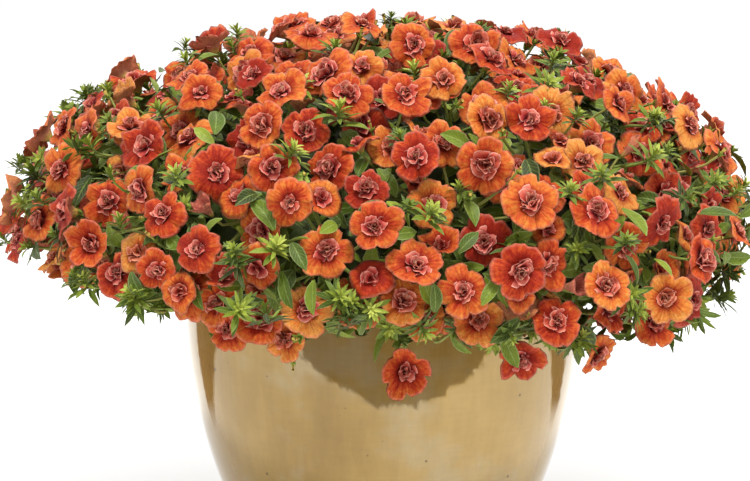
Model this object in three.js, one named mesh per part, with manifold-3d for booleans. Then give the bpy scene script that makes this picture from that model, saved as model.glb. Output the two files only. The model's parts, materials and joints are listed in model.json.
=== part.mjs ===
// A double-flowered calibrachoa in a glazed pot: a round trailing mound, about half a metre across, on a
// root ball of potting mix. Millimetres, +Z up, origin at the middle of the pot's foot.
import * as THREE from "three";
import { ConvexGeometry } from "three/addons/geometries/ConvexGeometry.js";
import { mergeVertices } from "three/addons/utils/BufferGeometryUtils.js";
import Module from "manifold-3d";

// ---- driving dimensions ----
const POT = { height: 212, rim: 135, foot: 78, curve: 2.3, wall: 9, floor: 12, lip: 4.5, sides: 28 };
const FOOT_EDGE = { inset: 3, rise: 2 };
const SOIL = { below_rim: 20, gap: 0.4 };
// The flower surface: a flattened dome above its widest level, and a shallow skirt below. The skirt hangs
// lowest on one side and is shortest on another.
const MOUND = { radius: 247, rise: 127, waist: POT.height + 33, lowest: -0.96, fullness: 0.7 };
const SKIRT = { sag: 30, drape: 36, towards: -0.22 * Math.PI, narrowing: 2.2 };
const SHORT_SIDE = { lift: 18, at: -0.75 * Math.PI };
const SWELL = { thirds: 0.022, third_at: 0.6, fifths: 0.016, fifth_at: -1.1 };
// The tangle of stems and leaves inside, and the plug of it that stands on the potting mix.
const CORE = { radius: 206, rise: 90, sag: 42, lowest: -0.5, bottom: POT.height + 0.8, ring: 20 };
const PLUG = { radius: 119, overlap: 4 };
// Where blooms may stand round a place of the flower surface, and how much they differ.
const HEAD = { places: 365, tries: 60, smallest: 14.2, largest: 17.4, jitter: 10, deepest: -18, highest: 10 };
const OVER_RIM = { out: 26, up: 22 };
// A bloom looks partly along the mound's normal, partly straight out from a point inside it, and leans.
const FACING = { outward: 0.85, eye: -20, low_lift: 0.4, lean: 0.4 };
const BLOOM = { notch: 0.87, throat: 0.36, rosette: 0.54, cup: 1.6, lift: 4.6, neck: 8, pipe: 1.9 };
// The rim's lobes: the dip at each notch, and how far and how unevenly the lobes rise, in cups.
const RIM = { dip: -0.5, rise: 0.2, uneven: 0.6, step: 2.1 };
const CLEAR = { heads: 0.9, pipe: 1.6, aside: 1, taper: 0.8, reach: 50, steps: 8 };
const SPRAY = { count: 57, most: 7, foot: 0.5, knot: 5, width: 2.6, turns: 24 };
const PIPE = { apart: 0.42, rising: 0.3, behind: 0.12 };
const SHOOT = { count: 60, tries: 2600, blades: 5, length: 20, width: 4, short: 0.72, widest: 0.55 };
const SHOOT_STEM = { crown: 2.1, top: 2.4, drop: 1, root: 16, level: -3, over_core: 2 };
const SHOOT_PLACE = { lowest: -0.72, spread: 1.5, nearby: 110 };
const CLIMB = { long: 0.32, short: 0.8 };
const SEED = { blooms: 14, shoots: 7 };
// Blooms that hang lowest, in front of the pot's wall: azimuth in turns, distance from the axis, height.
const TRAILERS = [
  [-0.294, 212, 212],
  [-0.24, 212, 194],
  [-0.186, 215, 197],
  [-0.138, 206, 191],
  [-0.324, 206, 212],
];
const TRAILER = { radius: 16, tilt: -0.35 };

// ---- numbers and vectors ----
const TURN = 2 * Math.PI;
const UP = new THREE.Vector3(0, 0, 1);
const mix = (a, b, t) => a + (b - a) * t;

// A linear congruential generator, so that every run makes the same plant.
function dice(seed) {
  let state = seed >>> 0;
  return () => {
    state = (Math.imul(state, 1664525) + 1013904223) >>> 0;
    return state / 4294967296;
  };
}

// Two unit vectors that make a right-handed frame with a unit normal.
function across(normal) {
  const helper = Math.abs(normal.z) < 0.9 ? UP : new THREE.Vector3(1, 0, 0);
  const u = helper.clone().cross(normal).normalize();
  return [u, normal.clone().cross(u)];
}

const around = (azimuth, reach, height) =>
  new THREE.Vector3(reach * Math.cos(azimuth), reach * Math.sin(azimuth), height);

// The outward normal of a flattened ball of a radius and a height.
function ballNormal(azimuth, latitude, radius, height) {
  return around(azimuth, Math.cos(latitude) / radius, Math.sin(latitude) / height).normalize();
}

// Places spread evenly over a flattened ball by a golden-angle spiral, as [azimuth, latitude], lowest first.
function spiral(count, radius, rise, sag, lowest) {
  const steps = 400;
  const latitudeAt = (k) => mix(lowest, Math.PI / 2, k / steps);
  const areas = [0];
  for (let k = 0; k < steps; k++) {
    const latitude = latitudeAt(k + 0.5);
    const height = latitude < 0 ? sag : rise;
    const slant = Math.hypot(radius * Math.sin(latitude), height * Math.cos(latitude));
    areas.push(areas[k] + Math.cos(latitude) * slant);
  }
  const golden = Math.PI * (3 - Math.sqrt(5));
  return Array.from({ length: count }, (_, i) => {
    const wanted = ((i + 0.5) / count) * areas[steps];
    const k = areas.findIndex((area) => area >= wanted);
    const share = (wanted - areas[k - 1]) / (areas[k] - areas[k - 1]);
    return [(i * golden) % TURN, latitudeAt(k - 1 + share)];
  });
}

// ---- the mound's surface ----
// A point of the mound at an azimuth and a latitude. The lower half is shallower and fuller, hangs lowest
// towards one side, and is shortest towards another.
function moundPoint(azimuth, latitude) {
  const thirds = SWELL.thirds * Math.sin(3 * azimuth + SWELL.third_at);
  const fifths = SWELL.fifths * Math.sin(5 * azimuth + SWELL.fifth_at);
  const below = latitude < 0;
  const facing = Math.max(0, Math.cos(azimuth - SKIRT.towards));
  const raised = Math.max(0, Math.cos(azimuth - SHORT_SIDE.at));
  const skirt = SKIRT.sag + SKIRT.drape * facing ** SKIRT.narrowing - SHORT_SIDE.lift * raised ** 2;
  const height = below ? skirt : MOUND.rise;
  const reach = MOUND.radius * (1 + thirds + fifths) * Math.cos(latitude) ** (below ? MOUND.fullness : 1);
  return around(azimuth, reach, MOUND.waist + height * Math.sin(latitude));
}

const moundNormal = (azimuth, latitude) =>
  ballNormal(azimuth, latitude, MOUND.radius, latitude < 0 ? SKIRT.sag + SKIRT.drape : MOUND.rise);

function corePoint(azimuth, latitude) {
  const height = latitude < 0 ? CORE.sag : CORE.rise;
  return around(azimuth, CORE.radius * Math.cos(latitude), MOUND.waist + height * Math.sin(latitude));
}

const coreNormal = (azimuth, latitude) =>
  ballNormal(azimuth, latitude, CORE.radius, latitude < 0 ? CORE.sag : CORE.rise);

// ---- where the sprays branch ----
function sprayKnots() {
  return spiral(SPRAY.count, CORE.radius, CORE.rise, CORE.sag, CORE.lowest).map(([azimuth, latitude]) => ({
    seat: corePoint(azimuth, latitude),
    normal: coreNormal(azimuth, latitude),
    blooms: [],
  }));
}

// ---- where the blooms stand ----
// How far a bloom's head, taken as its open face, its rosette and its neck, reaches along a unit axis.
function reachOf(head, axis) {
  const along = head.normal.dot(axis);
  const aside = Math.sqrt(Math.max(0, 1 - along * along));
  const face = head.radius * aside + Math.abs(along) * BLOOM.cup;
  const rosette = head.radius * BLOOM.rosette * aside + along * BLOOM.lift;
  const neck = BLOOM.pipe * aside - along * BLOOM.neck;
  return head.centre.dot(axis) + Math.max(face, rosette, neck);
}

// Two heads are clear where some axis, out of a few likely ones, has a gap between them.
function headsClear(a, b) {
  const apart = b.centre.clone().sub(a.centre);
  if (apart.length() > CLEAR.reach) return true;
  apart.normalize();
  const axes = [a.normal, b.normal, apart, a.normal.clone().add(b.normal)];
  for (const normal of [a.normal, b.normal])
    for (const share of [-1, -0.5, 0.5, 1]) axes.push(apart.clone().addScaledVector(normal, share));
  return axes.some((raw) => {
    const axis = raw.clone().normalize();
    const back = axis.clone().negate();
    const ahead = -reachOf(b, back) - reachOf(a, axis);
    const behind = -reachOf(a, back) - reachOf(b, axis);
    return Math.max(ahead, behind) > CLEAR.heads;
  });
}

// A head's pipe, from its neck to its knot, passes clear of another head.
function pipeClear(head, other) {
  const margin = BLOOM.pipe + CLEAR.pipe;
  for (let step = 0; step <= CLEAR.steps; step++) {
    const away = head.neck.clone().lerp(head.knot.seat, step / CLEAR.steps).sub(other.centre);
    const along = away.dot(other.normal);
    const aside = away.addScaledVector(other.normal, -along).length();
    const funnel = Math.max(0, 1 - aside / (other.radius * CLEAR.taper));
    const low = -BLOOM.cup - (BLOOM.neck - BLOOM.cup) * funnel - margin;
    const beside = aside < other.radius + BLOOM.pipe + CLEAR.aside;
    if (beside && along > low && along < BLOOM.lift + margin) return false;
  }
  return true;
}

// A pipe rises from the core rather than lying along it.
function standsOut(neck, knot) {
  const out = neck.clone().sub(knot.seat);
  return out.dot(knot.normal) > PIPE.rising * out.length();
}

// A pipe reaches its bloom from behind, clear of the bloom's own underside.
function comesFromBehind(neck, knot, normal) {
  const way = neck.clone().sub(knot.seat);
  return way.dot(normal) > PIPE.behind * way.length();
}

// A bloom on the nearest knot that its pipe can rise from, or null where there is none.
function placed(centre, normal, radius, phase, knots) {
  const neck = centre.clone().addScaledVector(normal, -BLOOM.neck);
  const near = (a, b) => (b.seat.distanceTo(neck) < a.seat.distanceTo(neck) ? b : a);
  const fits = (knot) => standsOut(neck, knot) && comesFromBehind(neck, knot, normal);
  const open = knots.filter(fits);
  if (!open.length) return null;
  const knot = open.reduce(near);
  const [u, v] = across(knot.normal);
  const out = neck.clone().sub(knot.seat);
  return { centre, normal, radius, phase, neck, knot, bearing: Math.atan2(out.dot(v), out.dot(u)) };
}

// Pipes of one knot leave it in different directions.
function fansOut(head) {
  return head.knot.blooms.every((other) => {
    const turn = Math.abs(head.bearing - other.bearing) % TURN;
    return Math.min(turn, TURN - turn) > PIPE.apart;
  });
}

function plantBlooms(knots) {
  const random = dice(SEED.blooms);
  const heads = [];
  const settles = (head) => {
    if (!head || head.knot.blooms.length >= SPRAY.most || !fansOut(head)) return false;
    if (!heads.every((o) => headsClear(head, o) && pipeClear(head, o) && pipeClear(o, head))) return false;
    heads.push(head);
    head.knot.blooms.push(head);
    return true;
  };
  TRAILERS.forEach(([turns, out, height], i) => {
    const azimuth = turns * TURN;
    const normal = around(azimuth, 1, TRAILER.tilt).normalize();
    settles(placed(around(azimuth, out, height), normal, TRAILER.radius, i, knots));
  });
  for (const place of spiral(HEAD.places, MOUND.radius, MOUND.rise, SKIRT.sag, MOUND.lowest)) {
    for (let i = 0; i < HEAD.tries; i++) if (settles(triedHead(place, random, knots))) break;
  }
  return heads;
}

// A bloom near a place of the mound's surface, with its own offset, depth, size and lean.
function triedHead([azimuth, latitude], random, knots) {
  const outward = moundNormal(azimuth, latitude);
  const [u, v] = across(outward);
  const shift = HEAD.jitter * Math.sqrt(random());
  const towards = TURN * random();
  const level = mix(HEAD.deepest, HEAD.highest, random());
  const radius = mix(HEAD.smallest, HEAD.largest, random());
  const lean = FACING.lean * Math.sqrt(random());
  const way = TURN * random();
  const centre = moundPoint(azimuth, latitude)
    .addScaledVector(outward, level)
    .addScaledVector(u, shift * Math.cos(towards))
    .addScaledVector(v, shift * Math.sin(towards));
  const beside = Math.hypot(centre.x, centre.y) < POT.rim + OVER_RIM.out;
  if (beside && centre.z < POT.height + OVER_RIM.up) return null;
  const eye = new THREE.Vector3(0, 0, MOUND.waist + FACING.eye);
  const normal = centre
    .clone()
    .sub(eye)
    .normalize()
    .multiplyScalar(FACING.outward)
    .addScaledVector(outward, 1 - FACING.outward)
    .addScaledVector(u, lean * Math.cos(way))
    .addScaledVector(v, lean * Math.sin(way))
    .addScaledVector(UP, latitude < 0 ? FACING.low_lift : 0)
    .normalize();
  return placed(centre, normal, radius, way, knots);
}

// ---- solids ----
const wasm = await Module();
wasm.setup();

function solidOf(geometry) {
  const bare = geometry.clone();
  bare.deleteAttribute("normal");
  bare.deleteAttribute("uv");
  const merged = mergeVertices(bare, 1e-4);
  return new wasm.Manifold(
    new wasm.Mesh({
      numProp: 3,
      vertProperties: merged.attributes.position.array,
      triVerts: new Uint32Array(merged.index.array),
    }),
  );
}

function geometryOf(solid) {
  const mesh = solid.getMesh();
  return new THREE.BufferGeometry()
    .setAttribute("position", new THREE.BufferAttribute(new Float32Array(mesh.vertProperties), 3))
    .setIndex(new THREE.BufferAttribute(new Uint32Array(mesh.triVerts), 1));
}

// Collects points and triangles of one closed surface.
class Surface {
  constructor() {
    this.points = [];
    this.faces = [];
  }
  add(point) {
    return this.points.push(point.clone()) - 1;
  }
  face(a, b, c) {
    this.faces.push(a, b, c);
  }
  // Joins two loops that turn the same way; each is a list of [index, angle] with rising angles over one
  // turn. Seen with the outer loop rising anticlockwise, the faces look up.
  band(outer, inner) {
    const at = (loop, k) => loop[k % loop.length][1] + TURN * Math.floor(k / loop.length);
    const offset = Math.round((outer[0][1] - inner[0][1]) / TURN) * TURN;
    let [i, j] = [0, 0];
    while (i < outer.length || j < inner.length) {
      const a = outer[i % outer.length][0];
      const b = inner[j % inner.length][0];
      const outerNext = i < outer.length && at(outer, i + 1) <= at(inner, j + 1) + offset;
      const takeOuter = j >= inner.length || outerNext;
      if (takeOuter) this.face(a, outer[(i + 1) % outer.length][0], b);
      else this.face(a, inner[(j + 1) % inner.length][0], b);
      if (takeOuter) i++;
      else j++;
    }
  }
  geometry() {
    const flat = new Float32Array(this.points.flatMap((p) => [p.x, p.y, p.z]));
    return new THREE.BufferGeometry()
      .setAttribute("position", new THREE.BufferAttribute(flat, 3))
      .setIndex(this.faces);
  }
}

// A loop of points round an axis: radius and height by the loop's own step number.
function loopOf(surface, frame, steps, angleOf, radiusOf, heightOf) {
  const { centre, normal, u, v } = frame;
  return Array.from({ length: steps }, (_, k) => {
    const angle = angleOf(k);
    const point = centre
      .clone()
      .addScaledVector(u, radiusOf(k) * Math.cos(angle))
      .addScaledVector(v, radiusOf(k) * Math.sin(angle))
      .addScaledVector(normal, heightOf(k));
    return [surface.add(point), angle];
  });
}

const byAngle = (loop) => [...loop].sort((a, b) => a[1] - b[1]);

// One bloom: an open, five-lobed outer corolla and a raised rosette of five inner petals. Its underside
// runs to three neck points, which are given.
function bloomHead(surface, head, neck) {
  const [u, v] = across(head.normal);
  const frame = { centre: head.centre, normal: head.normal, u, v };
  const start = (10 * head.phase) / TURN;
  const tenth = (k) => ((k + (start % 1)) / 10) * TURN;
  const fifth = (k) => tenth(2 * k + 1);
  const third = (k) => tenth((10 * k) / 3 + 1);
  const lobe = (k) => RIM.rise + RIM.uneven * Math.sin(2 * head.phase + RIM.step * k);
  const wave = (k) => BLOOM.cup * (k % 2 ? RIM.dip : lobe(k));
  const rim = loopOf(surface, frame, 10, tenth, (k) => head.radius * (k % 2 ? BLOOM.notch : 1), wave);
  const throat = loopOf(surface, frame, 3, third, () => head.radius * BLOOM.throat, () => -BLOOM.cup);
  const petals = loopOf(surface, frame, 5, fifth, () => head.radius * BLOOM.rosette, () => BLOOM.lift);
  surface.band(rim, throat);
  surface.band(throat, petals);
  for (let k = 1; k < 4; k++) surface.face(petals[0][0], petals[k][0], petals[k + 1][0]);
  const angled = neck.map((index) => {
    const away = surface.points[index].clone().sub(head.centre);
    const angle = Math.atan2(away.dot(v), away.dot(u));
    return [index, (angle + 2 * TURN - tenth(0)) % TURN + tenth(0)];
  });
  surface.band(byAngle(angled), rim);
}

// One spray: pipes from a small knot, each with its bloom. The knot is a low cone whose facets are the pipes'
// roots.
function sprayGeometry(knot) {
  const surface = new Surface();
  const [u, v] = across(knot.normal);
  const blooms = [...knot.blooms].sort((a, b) => a.bearing - b.bearing);
  const sides = Math.max(3, blooms.length);
  const bearings = blooms.map((b) => b.bearing);
  while (bearings.length < sides) {
    const gaps = bearings.map((b, i) => (bearings[i + 1] ?? bearings[0] + TURN) - b);
    const widest = gaps.indexOf(Math.max(...gaps));
    bearings.splice(widest + 1, 0, bearings[widest] + gaps[widest] / 2);
    blooms.splice(widest + 1, 0, null);
  }
  const foot = knot.seat.clone().addScaledVector(knot.normal, SPRAY.foot);
  const top = surface.add(foot.clone().addScaledVector(knot.normal, SPRAY.knot));
  const ring = bearings.map((bearing, i) => {
    const before = bearings[(i + sides - 1) % sides] - (i === 0 ? TURN : 0);
    const angle = (bearing + before) / 2;
    const out = u.clone().multiplyScalar(Math.cos(angle)).addScaledVector(v, Math.sin(angle));
    return surface.add(foot.clone().addScaledVector(out, SPRAY.width));
  });
  for (let i = 1; i < sides - 1; i++) surface.face(ring[0], ring[i + 1], ring[i]);
  blooms.forEach((head, i) => {
    const root = [top, ring[i], ring[(i + 1) % sides]];
    if (!head) surface.face(...root);
    else bloomHead(surface, head, pipe(surface, root, head));
  });
  return surface.geometry();
}

const centreOf = (points) =>
  points.reduce((sum, p) => sum.add(p), new THREE.Vector3()).divideScalar(points.length);

// A three-sided pipe from a root facet to the neck under a bloom; returns the neck's three points.
function pipe(surface, root, head) {
  const [u, v] = across(head.normal);
  const corners = root.map((index) => surface.points[index]);
  const turns = Array.from({ length: SPRAY.turns }, (_, k) => (k / SPRAY.turns) * TURN);
  const neckAt = (turn) =>
    [0, 1, 2].map((k) => {
      const angle = turn + (k / 3) * TURN;
      return head.neck
        .clone()
        .addScaledVector(u, BLOOM.pipe * Math.cos(angle))
        .addScaledVector(v, BLOOM.pipe * Math.sin(angle));
    });
  const axis = head.neck.clone().sub(centreOf(corners)).normalize();
  const aside = (points) => {
    const middle = centreOf(points);
    return points.map((p) => p.clone().sub(middle).projectOnPlane(axis).normalize());
  };
  const rootAside = aside(corners);
  const slack = (turn) =>
    aside(neckAt(turn)).reduce((sum, p, k) => sum + p.distanceToSquared(rootAside[k]), 0);
  const best = turns.reduce((a, b) => (slack(b) < slack(a) ? b : a));
  const neck = neckAt(best).map((p) => surface.add(p));
  const span = (a, b) => surface.points[a].distanceTo(surface.points[b]);
  for (let k = 0; k < 3; k++) {
    const next = (k + 1) % 3;
    const leans = span(root[next], neck[k]) <= span(root[k], neck[next]);
    surface.face(root[k], root[next], leans ? neck[k] : neck[next]);
    surface.face(leans ? root[next] : root[k], neck[next], neck[k]);
  }
  return neck;
}

// ---- leafy shoots ----
// One shoot: a star of leaves, long and short by turns, on a stem that narrows to a root sunk into the core.
function shootGeometry(centre, normal, root, turn) {
  const surface = new Surface();
  const [u, v] = across(normal);
  const spot = (angle, radius, height) =>
    surface.add(
      centre
        .clone()
        .addScaledVector(u, radius * Math.cos(angle))
        .addScaledVector(v, radius * Math.sin(angle))
        .addScaledVector(normal, height),
    );
  const crown = surface.add(centre.clone().addScaledVector(normal, SHOOT_STEM.top));
  const tip = surface.add(root);
  const slot = TURN / SHOOT.blades;
  const notchAt = (k) => spot(turn + (k - 0.5) * slot, SHOOT_STEM.crown, -SHOOT_STEM.drop);
  const notches = Array.from({ length: SHOOT.blades }, (_, k) => notchAt(k));
  notches.forEach((left, k) => {
    const right = notches[(k + 1) % SHOOT.blades];
    const angle = turn + k * slot;
    const short = k % 2;
    const length = SHOOT.length * (short ? SHOOT.short : 1);
    const climb = short ? CLIMB.short : CLIMB.long;
    const wide = length * SHOOT.widest;
    const spread = Math.atan2(SHOOT.width, wide);
    const end = spot(angle, length, length * climb);
    const near = spot(angle - spread, wide, wide * climb);
    const far = spot(angle + spread, wide, wide * climb);
    surface.face(crown, left, near);
    surface.face(crown, near, end);
    surface.face(crown, end, far);
    surface.face(crown, far, right);
    surface.face(left, right, near);
    surface.face(near, right, far);
    surface.face(near, far, end);
    surface.face(left, tip, right);
  });
  return surface.geometry();
}

function coreSolid(knots) {
  const points = knots.map((k) => k.seat.clone());
  const skirt = Math.asin((CORE.bottom - MOUND.waist) / CORE.sag);
  for (let i = 0; i < CORE.ring; i++) points.push(corePoint((i / CORE.ring) * TURN, skirt));
  const dome = solidOf(new ConvexGeometry(points));
  const low = POT.height - SOIL.below_rim + SOIL.gap;
  const high = CORE.bottom + PLUG.overlap;
  const plug = latheOf([[0, low], [PLUG.radius, low], [PLUG.radius, high], [0, high]], CORE.ring);
  return dome.add(solidOf(plug));
}

function foliageSolid(knots, neighbours) {
  const random = dice(SEED.shoots);
  let bush = coreSolid(knots);
  const stars = [];
  for (let i = 0; i < SHOOT.tries && stars.length < SHOOT.count; i++) {
    const azimuth = TURN * random();
    const latitude = Math.asin(mix(SHOOT_PLACE.lowest, 1, random()));
    const turn = TURN * random();
    const normal = moundNormal(azimuth, latitude);
    const centre = moundPoint(azimuth, latitude).addScaledVector(normal, SHOOT_STEM.level);
    const inward = coreNormal(azimuth, latitude).multiplyScalar(-SHOOT_STEM.root);
    const root = corePoint(azimuth, latitude).add(inward);
    if (root.z < CORE.bottom + SHOOT_STEM.over_core) continue;
    if (stars.some((s) => s.distanceTo(centre) < SHOOT_PLACE.spread * SHOOT.length)) continue;
    const shoot = solidOf(shootGeometry(centre, normal, root, turn));
    const near = neighbours.filter((n) => n.at === null || n.at.distanceTo(centre) < SHOOT_PLACE.nearby);
    if (near.some((n) => n.solid.intersect(shoot).volume() > 0)) continue;
    stars.push(centre);
    bush = bush.add(shoot);
  }
  return bush;
}

// ---- pot and root ball ----
function latheOf(profile, sides) {
  return new THREE.LatheGeometry(
    profile.map(([r, z]) => new THREE.Vector2(r, z)),
    sides,
  ).rotateX(Math.PI / 2);
}

const potOutside = (height) => POT.rim - (POT.rim - POT.foot) * (1 - height / POT.height) ** POT.curve;
const potInside = (height) => potOutside(height) - POT.wall;

function potProfile() {
  const below = POT.height - POT.lip;
  const wall = [0.05, 0.18, 0.36, 0.58, 0.82].map((t) => [potOutside(t * below), t * below]);
  const rounded = [0, 0.5, 1].map((t) => {
    const angle = t * Math.PI;
    return [POT.rim - POT.lip + POT.lip * Math.cos(angle), below + POT.lip * Math.sin(angle)];
  });
  const inside = [0.75, 0.45, 0.2].map((t) => [potInside(t * POT.height), t * POT.height]);
  const foot = [[0, 0], [POT.foot - FOOT_EDGE.inset, 0], [POT.foot, FOOT_EDGE.rise]];
  return [...foot, ...wall, ...rounded, ...inside, [potInside(POT.floor), POT.floor], [0, POT.floor]];
}

function soilProfile() {
  const top = POT.height - SOIL.below_rim;
  const low = POT.floor + SOIL.gap;
  const wall = [0.2, 0.45, 0.75].map((t) => [potInside(t * POT.height) - SOIL.gap, t * POT.height]);
  const foot = [potInside(POT.floor) - 2 * SOIL.gap, low];
  return [[0, low], foot, ...wall, [potInside(top) - 3 * SOIL.gap, top], [0, top]];
}

// ---- the plant, put together ----
function finish(color, roughness) {
  return new THREE.MeshStandardMaterial({ color, roughness, metalness: 0 });
}

const GLAZE = finish(0xbfa06c, 0.12);
const MIX = finish(0x3a2c20, 0.95);
const LEAF = finish(0x5d8a34, 0.6);
const PETAL = finish(0xd9592b, 0.55);

function named(name, geometry, material) {
  const mesh = new THREE.Mesh(geometry, material);
  mesh.name = name;
  return mesh;
}

const plant = new THREE.Group();
const knots = sprayKnots();
const heads = plantBlooms(knots);
const pot = latheOf(potProfile(), POT.sides);
const sprays = knots
  .filter((k) => k.blooms.length)
  .map((knot) => ({ at: knot.seat, geometry: sprayGeometry(knot) }));
const neighbours = sprays.map((s) => ({ at: s.at, solid: solidOf(s.geometry) }));
neighbours.push({ at: null, solid: solidOf(pot) });
plant.add(named("pot", pot, GLAZE));
plant.add(named("potting_mix", latheOf(soilProfile(), POT.sides), MIX));
plant.add(named("foliage", geometryOf(foliageSolid(knots, neighbours)), LEAF));
sprays.forEach((spray, i) => {
  const number = String(i + 1).padStart(2, "0");
  plant.add(named("bloom_spray_" + number, spray.geometry, PETAL));
});

export default plant;
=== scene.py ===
# %% [markdown]
# # A double calibrachoa in a glazed pot
# Calibrachoa is a small petunia-like plant. This one is double: each bloom is a five-lobed collar with a
# ruffled rosette in its middle. The plant has grown into a mound wider than its tan glazed pot.
# The packed solids fix where everything is, so this lesson only dresses them. It reads the place and
# the facing of every bloom from the solids, and grows finer blooms, leaves and glaze there.

# %% The frame
import json
import math
from types import SimpleNamespace

import bmesh
import bpy
import numpy as np
from mathutils import Euler, Matrix, Vector

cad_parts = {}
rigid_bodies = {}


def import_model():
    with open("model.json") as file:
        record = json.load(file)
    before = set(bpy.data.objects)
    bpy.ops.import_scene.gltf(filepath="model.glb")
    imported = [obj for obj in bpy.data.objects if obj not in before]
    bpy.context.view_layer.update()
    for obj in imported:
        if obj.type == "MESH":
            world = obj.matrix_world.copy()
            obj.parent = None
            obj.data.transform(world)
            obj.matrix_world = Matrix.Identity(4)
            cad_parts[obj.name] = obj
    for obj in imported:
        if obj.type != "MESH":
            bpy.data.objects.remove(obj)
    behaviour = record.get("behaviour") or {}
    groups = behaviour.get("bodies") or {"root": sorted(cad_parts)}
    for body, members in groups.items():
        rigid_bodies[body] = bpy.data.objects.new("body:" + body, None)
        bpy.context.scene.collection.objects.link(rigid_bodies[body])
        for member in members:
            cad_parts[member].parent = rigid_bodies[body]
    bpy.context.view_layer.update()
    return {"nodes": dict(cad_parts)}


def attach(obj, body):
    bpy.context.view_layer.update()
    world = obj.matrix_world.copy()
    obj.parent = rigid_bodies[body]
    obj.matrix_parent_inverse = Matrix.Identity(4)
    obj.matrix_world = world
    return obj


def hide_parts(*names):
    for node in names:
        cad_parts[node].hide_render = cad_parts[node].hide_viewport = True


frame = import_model()
MM = 0.001

# %% [markdown]
# ## The camera
# A long lens from a little above the rim keeps the pot's sides nearly parallel. The aim is a point on the
# pot's axis at rim height, and a small shift puts that point a little below the picture's middle.

# %% Camera
AIM = Vector((0, 0, 0.212))
EYE_DISTANCE = 1.6
EYE_ABOVE = math.radians(12)
FRAME_WIDTH = 750
FOCAL_PIXELS = 2353
AIM_OFF_CENTRE = (7.5, 27.5)
SENSOR = 36

eye = bpy.data.cameras.new("eye")
eye.sensor_width = SENSOR
eye.lens = FOCAL_PIXELS / FRAME_WIDTH * SENSOR
eye.shift_x = -AIM_OFF_CENTRE[0] / FRAME_WIDTH
eye.shift_y = AIM_OFF_CENTRE[1] / FRAME_WIDTH
eye_object = bpy.data.objects.new("eye", eye)
eye_object.location = AIM + EYE_DISTANCE * Vector((0, -math.cos(EYE_ABOVE), math.sin(EYE_ABOVE)))
eye_object.rotation_euler = (math.pi / 2 - EYE_ABOVE, 0, 0)
bpy.context.scene.collection.objects.link(eye_object)
bpy.context.scene.camera = eye_object
print("lens %.1f mm at %.2f m" % (eye.lens, EYE_DISTANCE))

# %% [markdown]
# ## Small tools
# Most pieces are built from lists of points and faces, so one helper turns such lists into an object.
# It can also carry named values per point, such as how young a leaf is, which the finishes read later.
# A bloom or a leaf is several patches, so a second helper collects patches before they become one object.

# %% Points and faces to an object
TURN = 2 * math.pi
UP = np.array([0, 0, 1.0])


def unit(v):
    """The same direction, one unit long."""
    v = np.asarray(v, float)
    return v / (np.linalg.norm(v, axis=-1, keepdims=True) + 1e-12)


def piece_of(name, points, faces, values=None, smooth=True, edges=()):
    """A mesh object. values: {name: one number, or one triple, for each point}."""
    mesh = bpy.data.meshes.new(name)
    mesh.from_pydata([tuple(p) for p in points], list(edges), [tuple(f) for f in faces])
    for key, row in (values or {}).items():
        row = np.asarray(row, np.float32)
        if row.ndim == 1:
            mesh.attributes.new(key, "FLOAT", "POINT").data.foreach_set("value", row)
        else:
            mesh.attributes.new(key, "FLOAT_VECTOR", "POINT").data.foreach_set("vector", row.ravel())
    mesh.polygons.foreach_set("use_smooth", [smooth] * len(mesh.polygons))
    mesh.update()
    made = bpy.data.objects.new(name, mesh)
    bpy.context.scene.collection.objects.link(made)
    return made


print("a unit of (0, 3, 4):", unit((0, 3, 4)))


# %% Patches that become one shape
class Sheets:
    """Collects the patches of one shape. Each point has a place on its petal or leaf, and three blends."""

    def __init__(self):
        self.points, self.faces, self.place, self.blend = [], [], [], []

    def add(self, points, place, blend):
        """Points without faces yet; gives the number of the first one."""
        first = len(self.points)
        self.points += [tuple(p) for p in points]
        self.place += [tuple(p) for p in place]
        self.blend += [blend] * len(points)
        return first

    def grid(self, points, place, blend, rows, columns, closed=False, turned=False):
        """Quads over rows x columns points; closed joins the last column to the first."""
        first = self.add(points, place, blend)
        for r in range(rows - 1):
            for c in range(columns if closed else columns - 1):
                a, b = first + r * columns + c, first + r * columns + (c + 1) % columns
                face = (a, b, b + columns, a + columns)
                self.faces.append(face[::-1] if turned else face)
        return first

    def zip_rings(self, outer, inner):
        """Triangles between two closed rings, lists of point numbers, that start at the same angle."""
        i = j = 0
        while i < len(outer) or j < len(inner):
            take_outer = j >= len(inner) or (i < len(outer) and i * len(inner) <= j * len(outer))
            a, b = outer[i % len(outer)], inner[j % len(inner)]
            c = outer[(i + 1) % len(outer)] if take_outer else inner[(j + 1) % len(inner)]
            self.faces.append((a, b, c))
            i, j = (i + 1, j) if take_outer else (i, j + 1)

    def object(self, name, **more):
        return piece_of(name, self.points, self.faces, {"place": self.place, "blend": self.blend, **more})


trial = Sheets()
trial.grid([(0, 0, 0)] * 6, [(0, 0, 0)] * 6, (0, 0, 0), 3, 2)
print("a patch of 3 x 2 points has %d faces" % len(trial.faces))

# %% [markdown]
# ## Where the blooms are
# In the solids each bloom has a flat five-cornered top on its rosette. No other face is a regular
# pentagon, so finding them gives each bloom's middle, facing and size, with no second copy of the
# planting rule to keep in step. The stalks of a spray start at its knot, which is what is left of the
# solid away from its blooms.

# %% Faces that lie in one plane
FLAT = 2e-3


def flat_group(start):
    """The faces that join start and lie in its plane."""
    group, front = {start}, [start]
    while front:
        for edge in front.pop().edges:
            for other in edge.link_faces:
                if other not in group and other.normal.angle(start.normal, 9) < FLAT:
                    group.add(other)
                    front.append(other)
    return group


print("faces within %.2f degrees count as one plane" % math.degrees(FLAT))

# %% Blooms and knot of one spray
LOBES = 5
ROSETTE_SHARE = 0.54
ROSETTE_RISE = 4.6 * MM
SAME_REACH = 2e-5
SAME_POINT = 2e-6
OFF_BLOOM, UNDER_BLOOM = 1.12, 1.3


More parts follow.
